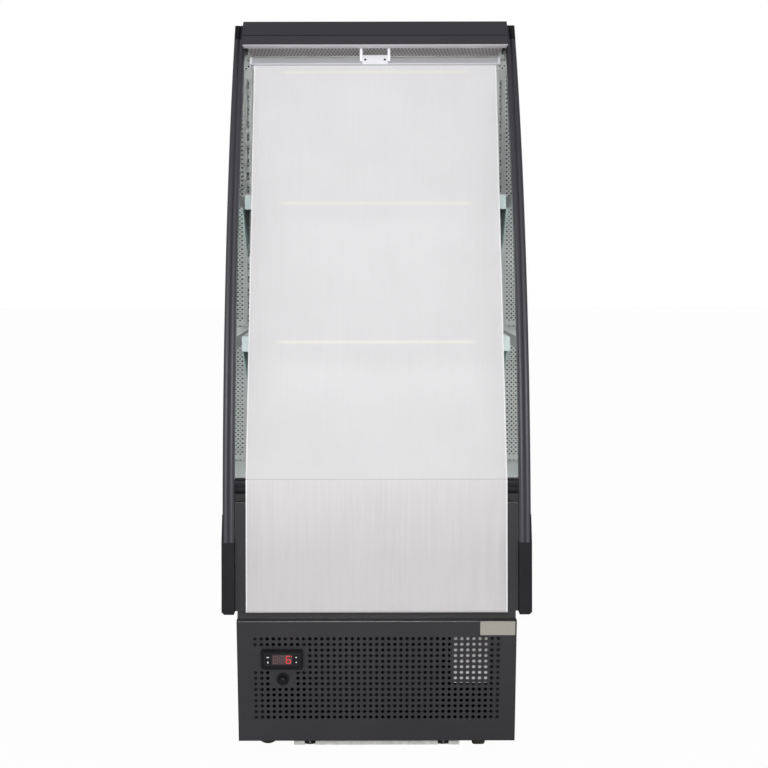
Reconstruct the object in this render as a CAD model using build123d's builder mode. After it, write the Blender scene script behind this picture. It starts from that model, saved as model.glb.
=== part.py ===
from build123d import *
from math import asin, cos, degrees, radians, sin, sqrt, tan
import os

# Open multideck display fridge, shut with its night blind.
# Millimetres. +X is the viewer's right, the front faces -Y, +Z is up.
# The origin is on the floor, in the middle of the cabinet's width and depth.

# ---------------------------------------------------------------- driving sizes
# Cabinet shell
CABINET_WIDTH = 600.0
CABINET_DEPTH = 700.0
CABINET_HEIGHT = 1500.0
SIDE_THICKNESS = 20.0
MIRROR_THICKNESS = 2.0
MOULDING_PROUD = 2.0
MOULDING_HEIGHT = 139.0
MOULDING_DEPTH = 60.0
MOULDING_TONGUE = 54.0
MOULDING_CHAMFER = 5.0
SIDE_GAP = 26.0
FRONT_RADIUS = 1880.0
TRIM_DEPTH = 26.0
TRIM_RIB = 2.5
TOP_CAP_HEIGHT = 32.0
REAR_WALL_THICKNESS = 50.0
ROOF_THICKNESS = 22.0
SHEET = 1.5

# Canopy and the air duct behind the shelves
CANOPY_SETBACK = 215.0
CANOPY_SLOPE_DEPTH = 47.0
CANOPY_SLOPE_DROP = 35.0
CANOPY_FRONT_HEIGHT = 56.0
CANOPY_LAP = 108.0
LIP_DEPTH = 47.0
LIP_UPSTAND = 6.0
HONEYCOMB_GAP = 1.0
HOOK_GAP = 18.0
HONEYCOMB_DEPTH = 131.0
HONEYCOMB_HEIGHT = 18.0
CELL_SIZE = 19.0
CELL_WALL = 3.0
DUCT_DEPTH = 39.0
DUCT_HEIGHT = 38.0
PERFORATION_PITCH = 48.0
PERFORATION_WIDTH = 6.0
PERFORATION_BRIDGE = 24.0
PERFORATION_ROWS = 3

# Uprights, shelves and lamps
UPRIGHT_SIDE_GAP = 5.0
UPRIGHT_WIDTH = 22.0
UPRIGHT_DEPTH = 12.0
SLOT_PITCH = 30.0
SLOT_HEIGHT = 20.0
SLOT_WIDTH = 5.0
SHELF_TOPS = (846.0, 1135.0)
SHELF_DEPTHS = (462.0, 377.0)
SHELF_SIDE_GAP = 6.0
SHELF_EDGE = 24.0
BRACKET_THICKNESS = 3.0
BRACKET_DROP = 118.0
BRACKET_TIP = 18.0
BRACKET_CURVE_IN = 0.34
BRACKET_CURVE_DOWN = 0.30
HOOK_LENGTH = 7.0
RAIL_HEIGHT = 30.0
RAIL_DEPTH = 8.0
LAMP_LENGTH = 455.0
LAMP_WIDTH = 16.0
LAMP_BASE = 6.0
LAMP_INSET = 30.0
LAMP_OFFSET = 12.0
CANOPY_LAMP_GAP = 49.0

# Well, deck and bumper
WELL_SETBACK = 33.0
WELL_HEIGHT = 212.0
WELL_WALL = 32.0
WELL_CAVITY = 49.0
TUB_HEIGHT = 211.0
TUB_FLOOR = 36.0
DECK_EDGE = 35.0
BUMPER_GAP = 17.0
BUMPER_HEIGHT = 29.0
BUMPER_DEPTH = 18.0
BUMPER_RADIUS = 7.0
BUMPER_GROOVE = 1.5
BUMPER_PROUD = 1.0
GRILLE_BAR_PITCH = 24.0
GRILLE_RIM = 6.0

# Night blind
FABRIC = 0.8
BLIND_SIDE_GAP = 21.0
BLIND_GAP = 4.0
BLIND_TOP_OFFSET = 17.0
BLIND_TOP_DROP = 34.0
BAR_LAP = 4.5
BAR_HEIGHT = 17.0
BAR_THICKNESS = 10.0
BAR_CAP = 4.0
BAR_EDGE = 3.0
BAR_CAP_STEP = 1.0
HANDLE_WIDTH = 53.0
HANDLE_HEIGHT = 20.0
HANDLE_THICKNESS = 3.0
HANDLE_HOLE = 5.0
HANDLE_HOLE_SPACING = 41.0
ARM_WIDTH = 5.5
ARM_THICKNESS = 3.0
ARM_LAP = 2.0
ROLLER_RADIUS = 19.0
ROLLER_PIN = 4.0
BRACKET_PLATE = 4.0
BRACKET_CORNER = 5.0
PIN_END_GAP = 1.0
WRAP_DROP = 2.8
WRAP_RADIUS = 4.0
RUNNING_GAP = 0.5

# Base housing
CASTOR_HEIGHT = 72.0
BASE_HEIGHT = 217.0
BASE_SHEET = 2.0
BASE_REAR_SETBACK = 10.0
LEDGE_SETBACK = 58.0
GRILLE_SLOPE = 11.9
GRILLE_CLEARANCE = 38.0
GRILLE_FLANGE = 12.0
HOLE_PITCH = 12.0
HOLE_SIZE = 7.0
HOLE_MARGIN = 36.0
FIRST_ROW = 37.0
LAST_ROW_MARGIN = 50.0
ROWS_JOINED = 8
POST_WIDTH = 44.5
POST_DEPTH = 20.0
LOUVRE_PITCH = 18.0
LOUVRE_HEIGHT = 6.0
LOUVRE_SPACING = 184.0
LOUVRE_LENGTH = 138.0
LOUVRE_MARGIN = 27.0

# Controller and switch, on the sloped grille
CONTROLLER_INSET = 89.0
CONTROLLER_ROW = 3.5
CONTROLLER_FACE = (83.0, 40.0)
CONTROLLER_BODY = (71.0, 29.0)
CONTROLLER_BODY_DEPTH = 55.0
CONTROLLER_PROUD = 5.0
CONTROLLER_CORNER = 4.0
CONTROLLER_GAP = 0.5
CONTROLLER_FIELD = (108.0, 48.0)
WINDOW_SIZE = (38.5, 20.0)
WINDOW_DEPTH = 1.5
KEY_SIZE = (10.0, 7.6)
KEY_PITCH = (56.0, 10.6)
KEY_DEPTH = 3.0
KEY_PROUD = 0.8
KEY_GAP = 0.3
KEY_TRAVEL_ROOM = 0.8
SWITCH_INSET = 90.0
SWITCH_ROW = 7.1
SWITCH_FIELD = (48.0, 36.0)
SWITCH_DIAMETER = 25.0
SWITCH_RIM = 3.0
SWITCH_BUSH = 20.0
SWITCH_BORE = 17.0
SWITCH_DEPTH = 24.0
BUTTON_GAP = 0.4
BUTTON_PROUD = 3.5
BUTTON_ROOM = 2.5
BUTTON_EDGE = 1.5

# Refrigeration
COIL_FIN = 1.5
COIL_FIN_PITCH = 20.0
COIL_TUBE = 10.0
EVAPORATOR_SIZE = (420.0, 230.0, 120.0)
EVAPORATOR_LEGS = 20.0
EVAPORATOR_GAP = 86.0
EVAPORATOR_FAN_X = 120.0
EVAPORATOR_FAN_RADIUS = 60.0
FAN_PLATE_SETBACK = 86.0
FAN_DEPTH = 22.0
FAN_GAP = 3.0
CONDENSER_SIZE = (260.0, 55.0, 180.0)
CONDENSER_X = -5.0
CONDENSER_SETBACK = 142.5
CONDENSER_FAN_RADIUS = 82.0
SHROUD_DEPTH = 24.0
HUB_SHARE = 0.32
SHAFT_RADIUS = 3.0
PIN_GAP = 0.1
FAN_BLADES = 5
BLADE_THICKNESS = 1.5
BLADE_ROOT_TURN = 55.0
BLADE_TIP_TURN = 65.0
MOTOR_ARM = 6.0
MOTOR_ARM_RIM = 4.0
COMPRESSOR_X = 95.0
COMPRESSOR_SETBACK = 220.0
COMPRESSOR_WIDTH = 150.0
COMPRESSOR_LENGTH = 164.0
COMPRESSOR_HEIGHT = 160.0
COMPRESSOR_SHOULDER = 28.0
SEAM_HEIGHT = 92.0
SEAM_WIDTH = 6.0
SEAM_PROUD = 3.0
TERMINAL_BOX = (30.0, 50.0, 46.0)
TERMINAL_HEIGHT = 56.0
FOOT_SPACING = 62.0
FOOT_RIM = 15.0
GROMMET_RADIUS = 11.0
GROMMET_HEIGHT = 12.0
PIPE_RADIUS = 4.0
PIPE_BEND = 12.0
PIPE_SIDES = 12
PIPE_RISE = 19.0
SUCTION_OFFSET = 40.0
SUCTION_INSET = 50.0
DRAIN_RADIUS = 12.0
DRAIN_X = -120.0
DRAIN_SETBACK = 125.0
CONDENSATE_TRAY_SIZE = (220.0, 170.0, 60.0)
WIRING_BOX_SIZE = (66.0, 60.0, 129.0)
WIRING_BOX_INSET = 91.5
WIRING_BOX_SETBACK = 100.0
WIRING_BOX_CORNER = 4.0
GLAND_INSET = 52.5
GLAND_RISE = 33.0
GLAND_RADIUS = 11.0
GLAND_THREAD = 5.5
CORD_BORE = 3.7

# Under-tray and castors
UNDER_TRAY_SIDE_GAP = 108.0
UNDER_TRAY_CLEARANCE = 24.0
UNDER_TRAY_SETBACK = 130.5
UNDER_TRAY_REAR_SETBACK = 145.5
MOUNT_INSET = 32.5
MOUNT_RADIUS = 10.5
MOUNT_GAP = 0.5
CASTOR_INSET = 64.5
FRONT_CASTOR_SETBACK = 229.0
REAR_CASTOR_SETBACK = 120.0
WHEEL_RADIUS = 25.0
WHEEL_WIDTH = 26.0
WHEEL_CHAMFER = 3.0
WHEEL_GAP = 1.0
AXLE_RADIUS = 4.0
KING_PIN = 4.0
AXLE_BOSS = 8.0
TRAIL = 14.0
FORK_SHEET = 2.5
FORK_CLEARANCE = 3.0
CASTOR_PLATE = 3.0
CASTOR_PLATE_SIZE = 62.0
CASTOR_BEARING = 15.0
BEARING_GAP = 0.4

# ---------------------------------------------------------------- derived planes and levels
FRONT = -CABINET_DEPTH / 2
REAR = CABINET_DEPTH / 2
PANEL_OUTER = CABINET_WIDTH / 2 - MOULDING_PROUD
PANEL_INNER = PANEL_OUTER - SIDE_THICKNESS
INNER_HALF = PANEL_INNER - MIRROR_THICKNESS

BASE_BOTTOM = CASTOR_HEIGHT
BASE_TOP = BASE_BOTTOM + BASE_HEIGHT
SIDE_BOTTOM = BASE_TOP + SIDE_GAP
CURVE_START = SIDE_BOTTOM + MOULDING_HEIGHT
CURVE_CENTRE_Y = FRONT + FRONT_RADIUS
ROOF_BOTTOM = CABINET_HEIGHT - ROOF_THICKNESS
DUCT_TOP = ROOF_BOTTOM
CEILING_Z = DUCT_TOP - DUCT_HEIGHT
REAR_WALL_Y = REAR - REAR_WALL_THICKNESS
BACK_PANEL_Y = REAR_WALL_Y - DUCT_DEPTH
UPRIGHT_X = INNER_HALF - UPRIGHT_SIDE_GAP - UPRIGHT_WIDTH / 2
UPRIGHT_Y = BACK_PANEL_Y - UPRIGHT_DEPTH
SHELF_HALF = INNER_HALF - SHELF_SIDE_GAP

CANOPY_FACE_Y = FRONT + CANOPY_SETBACK
CANOPY_TOP_Y = CANOPY_FACE_Y + CANOPY_SLOPE_DEPTH
CANOPY_BACK = CANOPY_TOP_Y + CANOPY_LAP
CANOPY_BOTTOM = CABINET_HEIGHT - CANOPY_FRONT_HEIGHT
LIP_BACK = CANOPY_FACE_Y + LIP_DEPTH
HONEYCOMB_FRONT = LIP_BACK + HOOK_GAP
HONEYCOMB_BACK = HONEYCOMB_FRONT + HONEYCOMB_DEPTH

WELL_FACE_Y = FRONT + WELL_SETBACK
WELL_TOP = SIDE_BOTTOM + WELL_HEIGHT
TUB_FRONT = WELL_FACE_Y + WELL_CAVITY
TUB_TOP = BASE_TOP + TUB_HEIGHT
TUB_FLOOR_Z = BASE_TOP + TUB_FLOOR
DECK_TOP = TUB_TOP + DECK_EDGE
DECK_FRONT = TUB_FRONT + WELL_WALL / 2
BUMPER_BOTTOM = WELL_TOP + BUMPER_GAP
BUMPER_TOP = BUMPER_BOTTOM + BUMPER_HEIGHT
UPSTAND_Y = WELL_FACE_Y + BUMPER_DEPTH - BUMPER_PROUD

BASE_REAR = REAR - BASE_REAR_SETBACK
LEDGE_Y = FRONT + LEDGE_SETBACK
SLOPE = radians(GRILLE_SLOPE)
GRILLE_LENGTH = (BASE_TOP - GRILLE_CLEARANCE) / cos(SLOPE)
BASE_HALF = INNER_HALF - SHEET
POST_X = BASE_HALF - BASE_SHEET - POST_WIDTH
HOLE_COLUMNS = int(2 * (INNER_HALF - HOLE_MARGIN) / HOLE_PITCH) + 1
HOLE_ROWS = int((GRILLE_LENGTH - FIRST_ROW - LAST_ROW_MARGIN) / HOLE_PITCH) + 1
CONTROLLER_X = CONTROLLER_INSET - INNER_HALF
SWITCH_X = SWITCH_INSET - INNER_HALF
GLAND_X = BASE_HALF - GLAND_INSET
GRILLE_PLANE = Plane(origin=(0, LEDGE_Y, BASE_TOP), x_dir=(1, 0, 0), z_dir=(0, -cos(SLOPE), -sin(SLOPE)))

BLIND_FOOT_Y = WELL_FACE_Y - BUMPER_PROUD - BLIND_GAP
BLIND_TOP_Y = LIP_BACK + BLIND_TOP_OFFSET
BLIND_TOP_Z = CANOPY_BOTTOM - BLIND_TOP_DROP
FABRIC_WIDTH = 2 * (INNER_HALF - BLIND_SIDE_GAP)
BAR_WIDTH = FABRIC_WIDTH + 2 * BAR_LAP
LEAN_RUN = BLIND_TOP_Y - BLIND_FOOT_Y
LEAN_RISE = BLIND_TOP_Z - BUMPER_TOP
FABRIC_LENGTH = sqrt(LEAN_RUN**2 + LEAN_RISE**2)
LEAN_SIN = LEAN_RUN / FABRIC_LENGTH
LEAN_COS = LEAN_RISE / FABRIC_LENGTH
BLIND_PLANE = Plane(origin=(0, BLIND_TOP_Y, BLIND_TOP_Z), x_dir=(1, 0, 0), z_dir=(0, -LEAN_COS, LEAN_SIN))
APRON_LOW = SIDE_BOTTOM - WRAP_DROP
ROLLER_Z = APRON_LOW + FABRIC + RUNNING_GAP + ROLLER_RADIUS
ROLLER_Y = WELL_FACE_Y + SHEET + BLIND_GAP + ROLLER_RADIUS
CASTOR_CROWN = 2 * WHEEL_RADIUS + FORK_CLEARANCE
CASTOR_X = BASE_HALF - CASTOR_INSET

EVAPORATOR_Y = BACK_PANEL_Y - EVAPORATOR_GAP - EVAPORATOR_SIZE[1] / 2
FAN_PLATE_Y = TUB_FRONT + WELL_WALL + FAN_PLATE_SETBACK
CONDENSER_Y = FRONT + CONDENSER_SETBACK + CONDENSER_SIZE[1] / 2
COMPRESSOR_Y = REAR - COMPRESSOR_SETBACK
SUCTION_X = COMPRESSOR_X - SUCTION_OFFSET
SUCTION_Y = EVAPORATOR_Y - SUCTION_INSET
DRAIN_Y = REAR - DRAIN_SETBACK
UNDER_TRAY_WIDTH = 2 * (BASE_HALF - UNDER_TRAY_SIDE_GAP)
UNDER_TRAY_DEPTH = CABINET_DEPTH - UNDER_TRAY_SETBACK - UNDER_TRAY_REAR_SETBACK
MOUNT_X = UNDER_TRAY_WIDTH / 2 - MOUNT_INSET

os.makedirs("parts", exist_ok=True)


# ---------------------------------------------------------------- helpers
def save(part, name):
    """Label a finished piece and write it as one STEP file."""
    part.label = name
    export_step(part, f"parts/{name}.step")


def front_y(z, inset):
    """Y of the cabinet's curved front edge at height z, moved back by inset."""
    rise = max(z - CURVE_START, 0.0)
    return CURVE_CENTRE_Y - sqrt((FRONT_RADIUS - inset) ** 2 - rise**2)


def side_plate(x_from, thickness, rear, top):
    """A side panel outline with the curved front edge, notched for the corner moulding."""
    middle_z = (CURVE_START + top) / 2
    start = (FRONT + TRIM_DEPTH, CURVE_START)
    end = (front_y(top, TRIM_DEPTH), top)
    notch_y = FRONT + MOULDING_DEPTH
    with BuildPart() as plate:
        with BuildSketch(Plane.YZ.offset(x_from)):
            with BuildLine():
                ThreePointArc(start, (front_y(middle_z, TRIM_DEPTH), middle_z), end)
                Polyline(end, (rear, top), (rear, SIDE_BOTTOM), (notch_y, SIDE_BOTTOM),
                         (notch_y, CURVE_START), start)
            make_face()
        extrude(amount=thickness)
    return plate.part


def folded_sheet(points, thickness, x_from, x_to):
    """A sheet folded along points (Y, Z), its thickness to the left of the path."""
    with BuildPart() as sheet:
        with BuildSketch(Plane.YZ.offset(x_from)):
            with BuildLine():
                fold = Polyline(*points)
                offset(fold, amount=thickness, side=Side.LEFT, kind=Kind.INTERSECTION)
            make_face()
        extrude(amount=x_to - x_from)
    return sheet.part


def open_tray(length_x, y_from, y_to, top, height, wall, opened):
    """A sheet tray with the chosen box faces left open."""
    with BuildPart() as tray:
        with Locations((0, (y_from + y_to) / 2, top)):
            Box(length_x, y_to - y_from, height, align=(Align.CENTER, Align.CENTER, Align.MAX))
        offset(amount=-wall, openings=opened(tray.faces()))
    return tray.part


def grille_y(z, inset):
    """Y of the sloped grille at height z, moved back by inset along its normal."""
    return LEDGE_Y + (BASE_TOP - z) * tan(SLOPE) + inset / cos(SLOPE)


def finned_block(size, x_centre, y_centre, z_low, legs):
    """A finned coil: fins on a block of tubes between two end plates."""
    length, depth, height = size
    fins = int((length - 2 * COIL_FIN_PITCH) / COIL_FIN_PITCH)
    middle_z = z_low + legs + height / 2
    with BuildPart() as coil:
        with Locations((x_centre, y_centre, middle_z)):
            with GridLocations(COIL_FIN_PITCH, 1, fins, 1):
                Box(COIL_FIN, depth, height)
            Box(length, depth / 2, height - 2 * COIL_TUBE)
        with Locations((x_centre, y_centre, z_low + (height + legs) / 2)):
            with GridLocations(length, 1, 2, 1):
                Box(2 * COIL_FIN, depth, height + legs)
    return coil.part


def fan_wheel(radius, depth, centre):
    """An axial fan about the Y axis: a hub with twisted blades."""
    hub = HUB_SHARE * radius
    with BuildPart() as fan:
        Cylinder(hub, depth)
        with PolarLocations(0, FAN_BLADES):
            with Locations(Rotation(0, 90, 0)):
                add(fan_blade(hub, radius, depth))
        Cylinder(SHAFT_RADIUS + PIN_GAP, 2 * depth, mode=Mode.SUBTRACT)
    return fan.part.rotate(Axis.X, 90).translate(centre)


def fan_blade(hub, radius, depth):
    """One blade from the hub out along its own Z, its pitch easing towards the tip."""
    with BuildPart() as blade:
        with BuildSketch(Plane.XY.offset(hub - SHAFT_RADIUS).rotated((0, 0, BLADE_ROOT_TURN))):
            Rectangle(BLADE_THICKNESS, 0.9 * depth)
        with BuildSketch(Plane.XY.offset(radius).rotated((0, 0, BLADE_TIP_TURN))):
            Rectangle(BLADE_THICKNESS, 1.4 * depth)
        loft()
    return blade.part


def wheel(centre, tread_turn):
    """A castor wheel about the X axis, then turned about Z to its swivel's pose."""
    with BuildPart() as body:
        Cylinder(WHEEL_RADIUS, WHEEL_WIDTH, rotation=(0, 90, 0))
        chamfer(body.edges().filter_by(GeomType.CIRCLE), WHEEL_CHAMFER)
        Cylinder(AXLE_RADIUS + PIN_GAP, WHEEL_WIDTH, rotation=(0, 90, 0), mode=Mode.SUBTRACT)
    return body.part.rotate(Axis.Z, tread_turn).translate(centre)


def fork(stem, turn):
    """A castor fork, open below, with its axle; it trails along its own +Y before the turn."""
    crown_top = BASE_BOTTOM - CASTOR_BEARING
    inside = WHEEL_WIDTH + 2 * WHEEL_GAP
    outside = inside + 2 * FORK_SHEET
    crown_low = CASTOR_CROWN
    with BuildPart() as body:
        with BuildSketch(Plane.YZ):
            with BuildLine():
                Polyline((TRAIL - AXLE_BOSS, WHEEL_RADIUS), (-CASTOR_BEARING, crown_low),
                         (-CASTOR_BEARING, crown_top), (TRAIL + AXLE_BOSS, crown_top),
                         (TRAIL + CASTOR_BEARING, crown_low), (TRAIL + AXLE_BOSS, WHEEL_RADIUS))
                ThreePointArc((TRAIL + AXLE_BOSS, WHEEL_RADIUS), (TRAIL, WHEEL_RADIUS - AXLE_BOSS),
                              (TRAIL - AXLE_BOSS, WHEEL_RADIUS))
            make_face()
        extrude(amount=outside / 2, both=True)
        with Locations((0, 0, crown_low)):
            Box(inside, 4 * WHEEL_RADIUS, 2 * crown_low, align=(Align.CENTER, Align.CENTER, Align.MAX),
                mode=Mode.SUBTRACT)
        with Locations((0, TRAIL, WHEEL_RADIUS)):
            Cylinder(AXLE_RADIUS, outside, rotation=(0, 90, 0))
        with Locations((0, 0, crown_low)):
            Cylinder(KING_PIN + PIN_GAP, 3 * FORK_CLEARANCE + crown_top - crown_low, mode=Mode.SUBTRACT)
    return body.part.rotate(Axis.Z, turn).translate(stem)


# ---------------------------------------------------------------- side panels
with BuildPart() as side_panels:
    add(side_plate(PANEL_INNER, SIDE_THICKNESS, REAR, CABINET_HEIGHT))
    mirror(about=Plane.YZ)
save(side_panels.part, "side_panels")

with BuildPart() as side_mirrors:
    add(side_plate(INNER_HALF, MIRROR_THICKNESS, REAR_WALL_Y, ROOF_BOTTOM))
    mirror(about=Plane.YZ)
save(side_mirrors.part, "side_mirrors")

# The ribbed front trim is a curved extrusion: its section turns about the front's centre.
TRIM_ANGLE = degrees(asin((CABINET_HEIGHT - CURVE_START) / (FRONT_RADIUS - TRIM_DEPTH))) + 1.0
TRIM_TOP = CABINET_HEIGHT - TOP_CAP_HEIGHT
FRONT_AXIS = Axis((0, CURVE_CENTRE_Y, CURVE_START), (-1, 0, 0))


def curved_trim(rib, z_from, z_to):
    """The stretch of the right-hand trim between two heights, with two front ribs."""
    rib_width = (PANEL_OUTER - INNER_HALF) / 2
    corners = [INNER_HALF, INNER_HALF + rib_width, PANEL_OUTER]
    root_y = FRONT + rib
    back_y = FRONT + TRIM_DEPTH
    with BuildPart() as trim:
        with BuildSketch(Plane.XY.offset(CURVE_START)):
            with BuildLine():
                for left, right in zip(corners, corners[1:]):
                    ThreePointArc((left, root_y), ((left + right) / 2, FRONT), (right, root_y))
                Polyline((PANEL_OUTER, root_y), (PANEL_OUTER, back_y), (INNER_HALF, back_y),
                         (INNER_HALF, root_y))
            make_face()
        revolve(axis=FRONT_AXIS, revolution_arc=TRIM_ANGLE)
        split(bisect_by=Plane.XY.offset(z_from), keep=Keep.TOP)
        split(bisect_by=Plane.XY.offset(z_to), keep=Keep.BOTTOM)
    return trim.part


with BuildPart() as side_trims:
    add(curved_trim(TRIM_RIB, CURVE_START, TRIM_TOP))
    mirror(about=Plane.YZ)
save(side_trims.part, "side_trims")

with BuildPart() as side_mouldings:
    with BuildSketch(Plane.XZ.offset(-FRONT)):
        with BuildLine():
            Polyline((INNER_HALF, SIDE_BOTTOM), (CABINET_WIDTH / 2 - MOULDING_CHAMFER, SIDE_BOTTOM),
                     (CABINET_WIDTH / 2, SIDE_BOTTOM + MOULDING_CHAMFER), (CABINET_WIDTH / 2, CURVE_START),
                     (PANEL_OUTER + MOULDING_PROUD / 4, CURVE_START + MOULDING_TONGUE),
                     (PANEL_OUTER, CURVE_START + MOULDING_TONGUE), (PANEL_OUTER, CURVE_START),
                     (INNER_HALF, CURVE_START), (INNER_HALF, SIDE_BOTTOM))
        make_face()
    extrude(amount=-MOULDING_DEPTH)
    add(curved_trim(TRIM_RIB, TRIM_TOP, CABINET_HEIGHT))
    mirror(about=Plane.YZ)
save(side_mouldings.part, "side_mouldings")

# ---------------------------------------------------------------- rear wall and roof
with BuildPart() as rear_wall:
    with Locations((0, (REAR_WALL_Y + REAR) / 2, (BASE_TOP + ROOF_BOTTOM) / 2)):
        Box(2 * INNER_HALF, REAR_WALL_THICKNESS, ROOF_BOTTOM - BASE_TOP)
save(rear_wall.part, "rear_wall")

with BuildPart() as roof_panel:
    with Locations((0, (CANOPY_BACK + REAR) / 2, CABINET_HEIGHT)):
        Box(2 * PANEL_INNER, REAR - CANOPY_BACK, ROOF_THICKNESS,
            align=(Align.CENTER, Align.CENTER, Align.MAX))
save(roof_panel.part, "roof_panel")

# ---------------------------------------------------------------- canopy
CANOPY_LOW = CANOPY_BOTTOM + SHEET
canopy_fold = [(CANOPY_FACE_Y, CANOPY_LOW), (CANOPY_FACE_Y, CABINET_HEIGHT - CANOPY_SLOPE_DROP),
               (CANOPY_TOP_Y, CABINET_HEIGHT), (CANOPY_BACK, CABINET_HEIGHT)]
with BuildPart() as canopy:
    add(folded_sheet(canopy_fold[::-1], SHEET, -INNER_HALF, INNER_HALF))
    with BuildSketch(Plane.YZ.offset(INNER_HALF - SHEET)):
        with BuildLine():
            Polyline((CANOPY_FACE_Y, CANOPY_BOTTOM), *canopy_fold[1:], (CANOPY_BACK, CANOPY_BOTTOM),
                     close=True)
        make_face()
    extrude(amount=SHEET)
    mirror(about=Plane.YZ)
save(canopy.part, "canopy")

lip_fold = [(CANOPY_FACE_Y, CANOPY_BOTTOM), (LIP_BACK, CANOPY_BOTTOM), (LIP_BACK, CANOPY_BOTTOM + LIP_UPSTAND)]
save(folded_sheet(lip_fold, SHEET, -BASE_HALF, BASE_HALF), "canopy_lip")

HONEYCOMB_LOW = CANOPY_LOW + HONEYCOMB_GAP
CELL_COLUMNS = int(2 * BASE_HALF / (2 * CELL_SIZE)) - 1
CELL_ROWS = int(HONEYCOMB_DEPTH / (sqrt(3) * CELL_SIZE)) - 1
with BuildPart() as air_outlet_honeycomb:
    with BuildSketch(Plane.XY.offset(HONEYCOMB_LOW)):
        with Locations((0, (HONEYCOMB_FRONT + HONEYCOMB_BACK) / 2)):
            Rectangle(2 * BASE_HALF, HONEYCOMB_DEPTH)
            with HexLocations(CELL_SIZE, CELL_COLUMNS, CELL_ROWS):
                RegularPolygon(CELL_SIZE - CELL_WALL, 6, mode=Mode.SUBTRACT)
    extrude(amount=HONEYCOMB_HEIGHT)
save(air_outlet_honeycomb.part, "air_outlet_honeycomb")

# ---------------------------------------------------------------- air duct panels
ceiling_fold = [(HONEYCOMB_BACK, HONEYCOMB_LOW + HONEYCOMB_HEIGHT), (HONEYCOMB_BACK, CEILING_Z),
                (BACK_PANEL_Y, CEILING_Z)]
PERFORATION_COLUMNS = int((2 * UPRIGHT_X - UPRIGHT_WIDTH - PERFORATION_PITCH) / PERFORATION_PITCH)
PERFORATION_ROW_PITCH = (CEILING_Z - DECK_TOP - PERFORATION_BRIDGE) / PERFORATION_ROWS
with BuildPart() as duct_panels:
    add(folded_sheet(ceiling_fold, SHEET, -INNER_HALF, INNER_HALF))
    with BuildSketch(Plane.XZ.offset(-BACK_PANEL_Y)):
        with Locations((0, (DECK_TOP + CEILING_Z) / 2)):
            Rectangle(2 * INNER_HALF, CEILING_Z - DECK_TOP)
            with GridLocations(PERFORATION_PITCH, PERFORATION_ROW_PITCH, PERFORATION_COLUMNS,
                               PERFORATION_ROWS):
                Rectangle(PERFORATION_WIDTH, PERFORATION_ROW_PITCH - PERFORATION_BRIDGE, mode=Mode.SUBTRACT)
    extrude(amount=-SHEET)
save(duct_panels.part, "duct_panels")

# ---------------------------------------------------------------- uprights
UPRIGHT_HEIGHT = CEILING_Z - DECK_TOP
SLOT_COUNT = int((UPRIGHT_HEIGHT - SLOT_PITCH) / SLOT_PITCH)
SLOT_CENTRES = [DECK_TOP + SLOT_PITCH * (row + 1) for row in range(SLOT_COUNT)]
with BuildPart() as shelf_uprights:
    with Locations((UPRIGHT_X, UPRIGHT_Y + UPRIGHT_DEPTH / 2, (DECK_TOP + CEILING_Z) / 2)):
        Box(UPRIGHT_WIDTH, UPRIGHT_DEPTH, UPRIGHT_HEIGHT)
    with Locations((UPRIGHT_X, UPRIGHT_Y + UPRIGHT_DEPTH / 2 + BASE_SHEET, (DECK_TOP + CEILING_Z) / 2)):
        Box(UPRIGHT_WIDTH - 2 * BASE_SHEET, UPRIGHT_DEPTH, UPRIGHT_HEIGHT, mode=Mode.SUBTRACT)
    with Locations([(UPRIGHT_X, UPRIGHT_Y, z) for z in SLOT_CENTRES]):
        Box(SLOT_WIDTH, 3 * BASE_SHEET, SLOT_HEIGHT, mode=Mode.SUBTRACT)
    mirror(about=Plane.YZ)
save(shelf_uprights.part, "shelf_uprights")


# ---------------------------------------------------------------- shelves
def shelf_bracket(top, depth):
    """The right-hand bracket of a shelf, its hooks in the slots beside it."""
    plate_top = top - SHEET
    tip_y = UPRIGHT_Y - depth + LAMP_INSET + LAMP_WIDTH
    tip_z = plate_top - BRACKET_TIP
    foot_z = plate_top - BRACKET_DROP
    knee_y = (tip_y + UPRIGHT_Y) / 2
    hooks = [z for z in SLOT_CENTRES if foot_z + SLOT_HEIGHT / 2 < z < plate_top - SLOT_HEIGHT / 2]
    with BuildPart() as bracket:
        with BuildSketch(Plane.YZ.offset(UPRIGHT_X - BRACKET_THICKNESS / 2)):
            with BuildLine():
                Polyline((knee_y, tip_z), (tip_y, tip_z), (tip_y, plate_top), (UPRIGHT_Y, plate_top),
                         (UPRIGHT_Y, foot_z))
                belly = (UPRIGHT_Y - BRACKET_CURVE_IN * depth, tip_z - BRACKET_CURVE_DOWN * BRACKET_DROP)
                ThreePointArc((UPRIGHT_Y, foot_z), belly, (knee_y, tip_z))
            make_face()
            with Locations([(UPRIGHT_Y, z) for z in (hooks[0], hooks[-1])]):
                Rectangle(HOOK_LENGTH, SLOT_HEIGHT / 2, align=(Align.MIN, Align.CENTER))
        extrude(amount=BRACKET_THICKNESS)
    return bracket.part


def shelf_tray(top, depth):
    """A shelf: a sheet tray, open below and at the back."""
    return open_tray(2 * SHELF_HALF, UPRIGHT_Y - depth, UPRIGHT_Y, top, SHELF_EDGE, SHEET,
                     lambda faces: [faces.sort_by(Axis.Z)[0], faces.sort_by(Axis.Y)[-1]])


def price_rail(top, depth):
    """A price rail clipped to a shelf's front edge."""
    face = UPRIGHT_Y - depth
    return folded_sheet([(face, top - RAIL_HEIGHT), (face - RAIL_DEPTH, top - RAIL_HEIGHT),
                         (face - RAIL_DEPTH / 2, top), (face, top)][::-1], SHEET, -SHELF_HALF, SHELF_HALF)


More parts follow.
